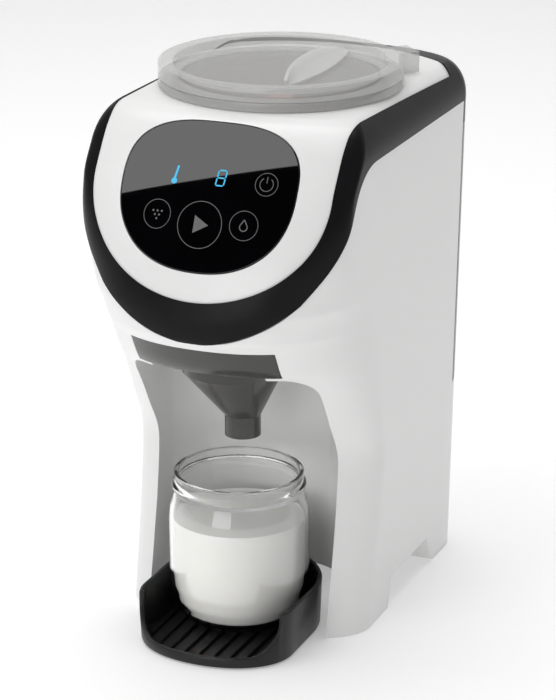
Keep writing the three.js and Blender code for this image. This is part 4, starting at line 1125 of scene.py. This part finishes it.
def rim_height(place):
    """Height of the tray's wall, which drops in a curve from its front corners to the lip."""
    t = (abs(place.x - TRAY_X) - TRAY_CUT_LIP) / (TRAY_CUT_TOP - TRAY_CUT_LIP)
    if place.y > TRAY_CORNER_Y or t > 1:
        return TRAY_WALL_Z
    share = 1 - (1 - clamp(t, 0, 1) ** 2.5) ** 0.41
    return TRAY_LIP_Z + (TRAY_WALL_Z - TRAY_LIP_Z) * share


def drip_tray():
    """One shell: up the outside, over a rounded rim, down the inside and across the floor."""
    outside = [(1.6, 0.4), (0.5, 0.9), (0, 2.2)]
    inside = [(2.7, 4.4), (3.2, 2.5), (4.6, TRAY_FLOOR_Z)]
    tops = [rim_height(p) for p in tray_ring(0, TRAY_WALL_Z)]
    rings = [tray_ring(inset, z) for inset, z in outside]
    for inset, down in ((0, 1.2), (0.35, 0.35), (1.3, 0), (2.25, 0.35), (2.6, 1.2)):
        ring = tray_ring(inset, TRAY_WALL_Z)
        rings.append([Vector((p.x, p.y, z - down)) for p, z in zip(ring, tops)])
    rings += [tray_ring(inset, z) for inset, z in inside]
    return loft(rings)


def tray_bars():
    """The bars that the jar stands on, with drain slots between them."""
    middle = loft([tray_ring(5, 0), tray_ring(5, TRAY_WALL_Z)])
    top = JAR_BOTTOM_Z - GAP
    bars = []
    half = BAR_WIDTH / 2
    low = TRAY_FLOOR_Z - 0.5
    for i in range(BARS):
        x = TRAY_X + (i - (BARS - 1) / 2) * BAR_PITCH
        section = [(x - half, low), (x + half, low), (x + half, top - BAR_BEVEL),
                   (x + half - BAR_BEVEL, top), (x - half + BAR_BEVEL, top), (x - half, top - BAR_BEVEL)]
        bars.append(forwards(section, TRAY_FRONT_Y, JAR_Y + TRAY_HALF_WIDTH))
    return meet(join(*bars), middle)


tray = join(drip_tray(), tray_bars())
piece("tray", tray, tray_plastic, "drip_tray", ["drip_tray"], sharp=40)

# ------------------------------------------------------------------ carried-over parts

discard(outer, inner, above_band)

SLOT_LOOKS = {
    "display": display_dark, "circuit_board": circuit, "copper_pads": copper, "grey_plastic": grey_plastic,
    "rubber": rubber, "steel": steel, "inner_black": inner_black, "white_plastic": white_plastic,
    "hose_silicone": silicone,
}
for part in frame["record"]["subparts"]:
    look = SLOT_LOOKS.get(part["material_slot"])
    if look is not None:
        node = frame["nodes"][part["node"]]
        node.data.materials.clear()
        node.data.materials.append(look.material)

# ------------------------------------------------------------------ stage, light and camera

FLOOR_REACH = 6.0  # metres
SWEEP_Y = 2.2  # where the floor starts to rise
SWEEP_R = 1.6


def stage_floor():
    """A plain pale floor that rises behind the object in one smooth sweep."""
    profile = [(-FLOOR_REACH, 0), (SWEEP_Y, 0)]
    for angle in (math.radians(6 * i) for i in range(1, 16)):
        profile.append((SWEEP_Y + SWEEP_R * math.sin(angle), SWEEP_R - SWEEP_R * math.cos(angle)))
    profile.append((SWEEP_Y + SWEEP_R, FLOOR_REACH))
    rings = [[Vector((x, y, z)) for y, z in profile] for x in (-FLOOR_REACH, FLOOR_REACH)]
    points, faces = skin(rings, closed=False, capped=False)
    floor = draft(points, faces, "studio_floor")
    floor.data.shade_smooth()
    return floor


pale = Look("studio_pale", (0.9, 0.9, 0.9), 0.9).tones(1.5, 0.004)
pale.set(Emission_Color=(1, 1, 1, 1), Emission_Strength=0.26)
floor = stage_floor()
floor.data.materials.append(pale.material)


def area_light(name, place, target, size, watts):
    """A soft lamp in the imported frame's metres, aimed at the target."""
    data = bpy.data.lights.new(name, "AREA")
    data.shape = "RECTANGLE"
    data.size, data.size_y = size
    data.energy = watts
    light = bpy.data.objects.new(name, data)
    light.location = place
    light.rotation_euler = (Vector(target) - Vector(place)).to_track_quat("-Z", "Y").to_euler()
    bpy.context.scene.collection.objects.link(light)


area_light("key_light", (-1.4, -1.8, 1.5), (0, 0, 0.15), (1.6, 1.6), 10)
area_light("top_light", (-0.3, 0.1, 1.9), (0, 0, 0.1), (1.8, 1.8), 24)
area_light("front_light", (-0.15, -1.7, 0.3), (0, 0, 0.1), (0.9, 0.5), 4)
area_light("fill_light", (2.0, -0.9, 0.9), (0, 0, 0.15), (1.2, 1.6), 1)

world = bpy.data.worlds.new("studio_world")
world.use_nodes = True
world.node_tree.nodes["Background"].inputs["Color"].default_value = (1, 1, 1, 1)
world.node_tree.nodes["Background"].inputs["Strength"].default_value = 0.25
bpy.context.scene.world = world
bpy.context.scene.view_settings.view_transform = "Standard"

CAMERA_PLACE = Vector((0.5639, -1.3472, 0.6494))
CAMERA_AZIMUTH = math.radians(22.76)
CAMERA_DOWN = math.radians(19.30)
camera_data = bpy.data.cameras.new("camera")
camera_data.sensor_width = 36
camera_data.lens = 145.5
camera_data.clip_start = 0.05
camera = bpy.data.objects.new("camera", camera_data)
camera.location = CAMERA_PLACE
camera.rotation_euler = (math.pi / 2 - CAMERA_DOWN, 0, CAMERA_AZIMUTH)
bpy.context.scene.collection.objects.link(camera)
bpy.context.scene.camera = camera

# Two cards that only reflections see: the touch glass mirrors a pale one above a slanting line and
# a black one below it.

CARD_DISTANCE = 900.0  # from the touch glass, in millimetres
CARD_LINE = ((-47.3, -3.5), (45.8, 21.4))  # where the cards meet in the glass's reflection
CARD_ACROSS = [-52 + 4 * i for i in range(27)]
CARD_ROWS = 9


def reflected(x, v):
    """Where the camera's ray by way of a point on the touch glass meets the cards' plane."""
    eye = CAMERA_PLACE / METRES - Vector((0, AXIS_Y, 0))
    place = on_face(x, v, 0)
    axis = (on_face(0, 0, 0) - eye).reflect(OUT_OF_FACE).normalized()
    ray = (place - eye).reflect(OUT_OF_FACE).normalized()
    along = (on_face(0, 0, 0) + axis * CARD_DISTANCE - place).dot(axis) / ray.dot(axis)
    return (place + ray * along + Vector((0, AXIS_Y, 0))) * METRES


def reflection_card(name, far_v, look):
    """A card that fills the glass's reflection from the slanting line to the height far_v."""
    (x0, v0), (x1, v1) = CARD_LINE
    slope = (v1 - v0) / (x1 - x0)
    rows = []
    for share in (step / (CARD_ROWS - 1) for step in range(CARD_ROWS)):
        line_share = 1 - share
        rows.append([reflected(x, (v0 + (x - x0) * slope) * line_share + far_v * share)
                     for x in CARD_ACROSS])
    card = draft(*skin(rows, closed=False, capped=False), name)
    card.data.materials.append(look.material)
    card.visible_camera = False
    card.visible_diffuse = False
    card.visible_transmission = False
    card.visible_shadow = False


pale_card = Look("pale_card", (0, 0, 0), 1.0).set(Emission_Color=(1, 1, 1, 1), Emission_Strength=3.5)
black_card = Look("black_card", (0, 0, 0), 1.0).set(Specular_IOR_Level=0.0)
reflection_card("pale_card", 44, pale_card)
reflection_card("black_card", -50, black_card)
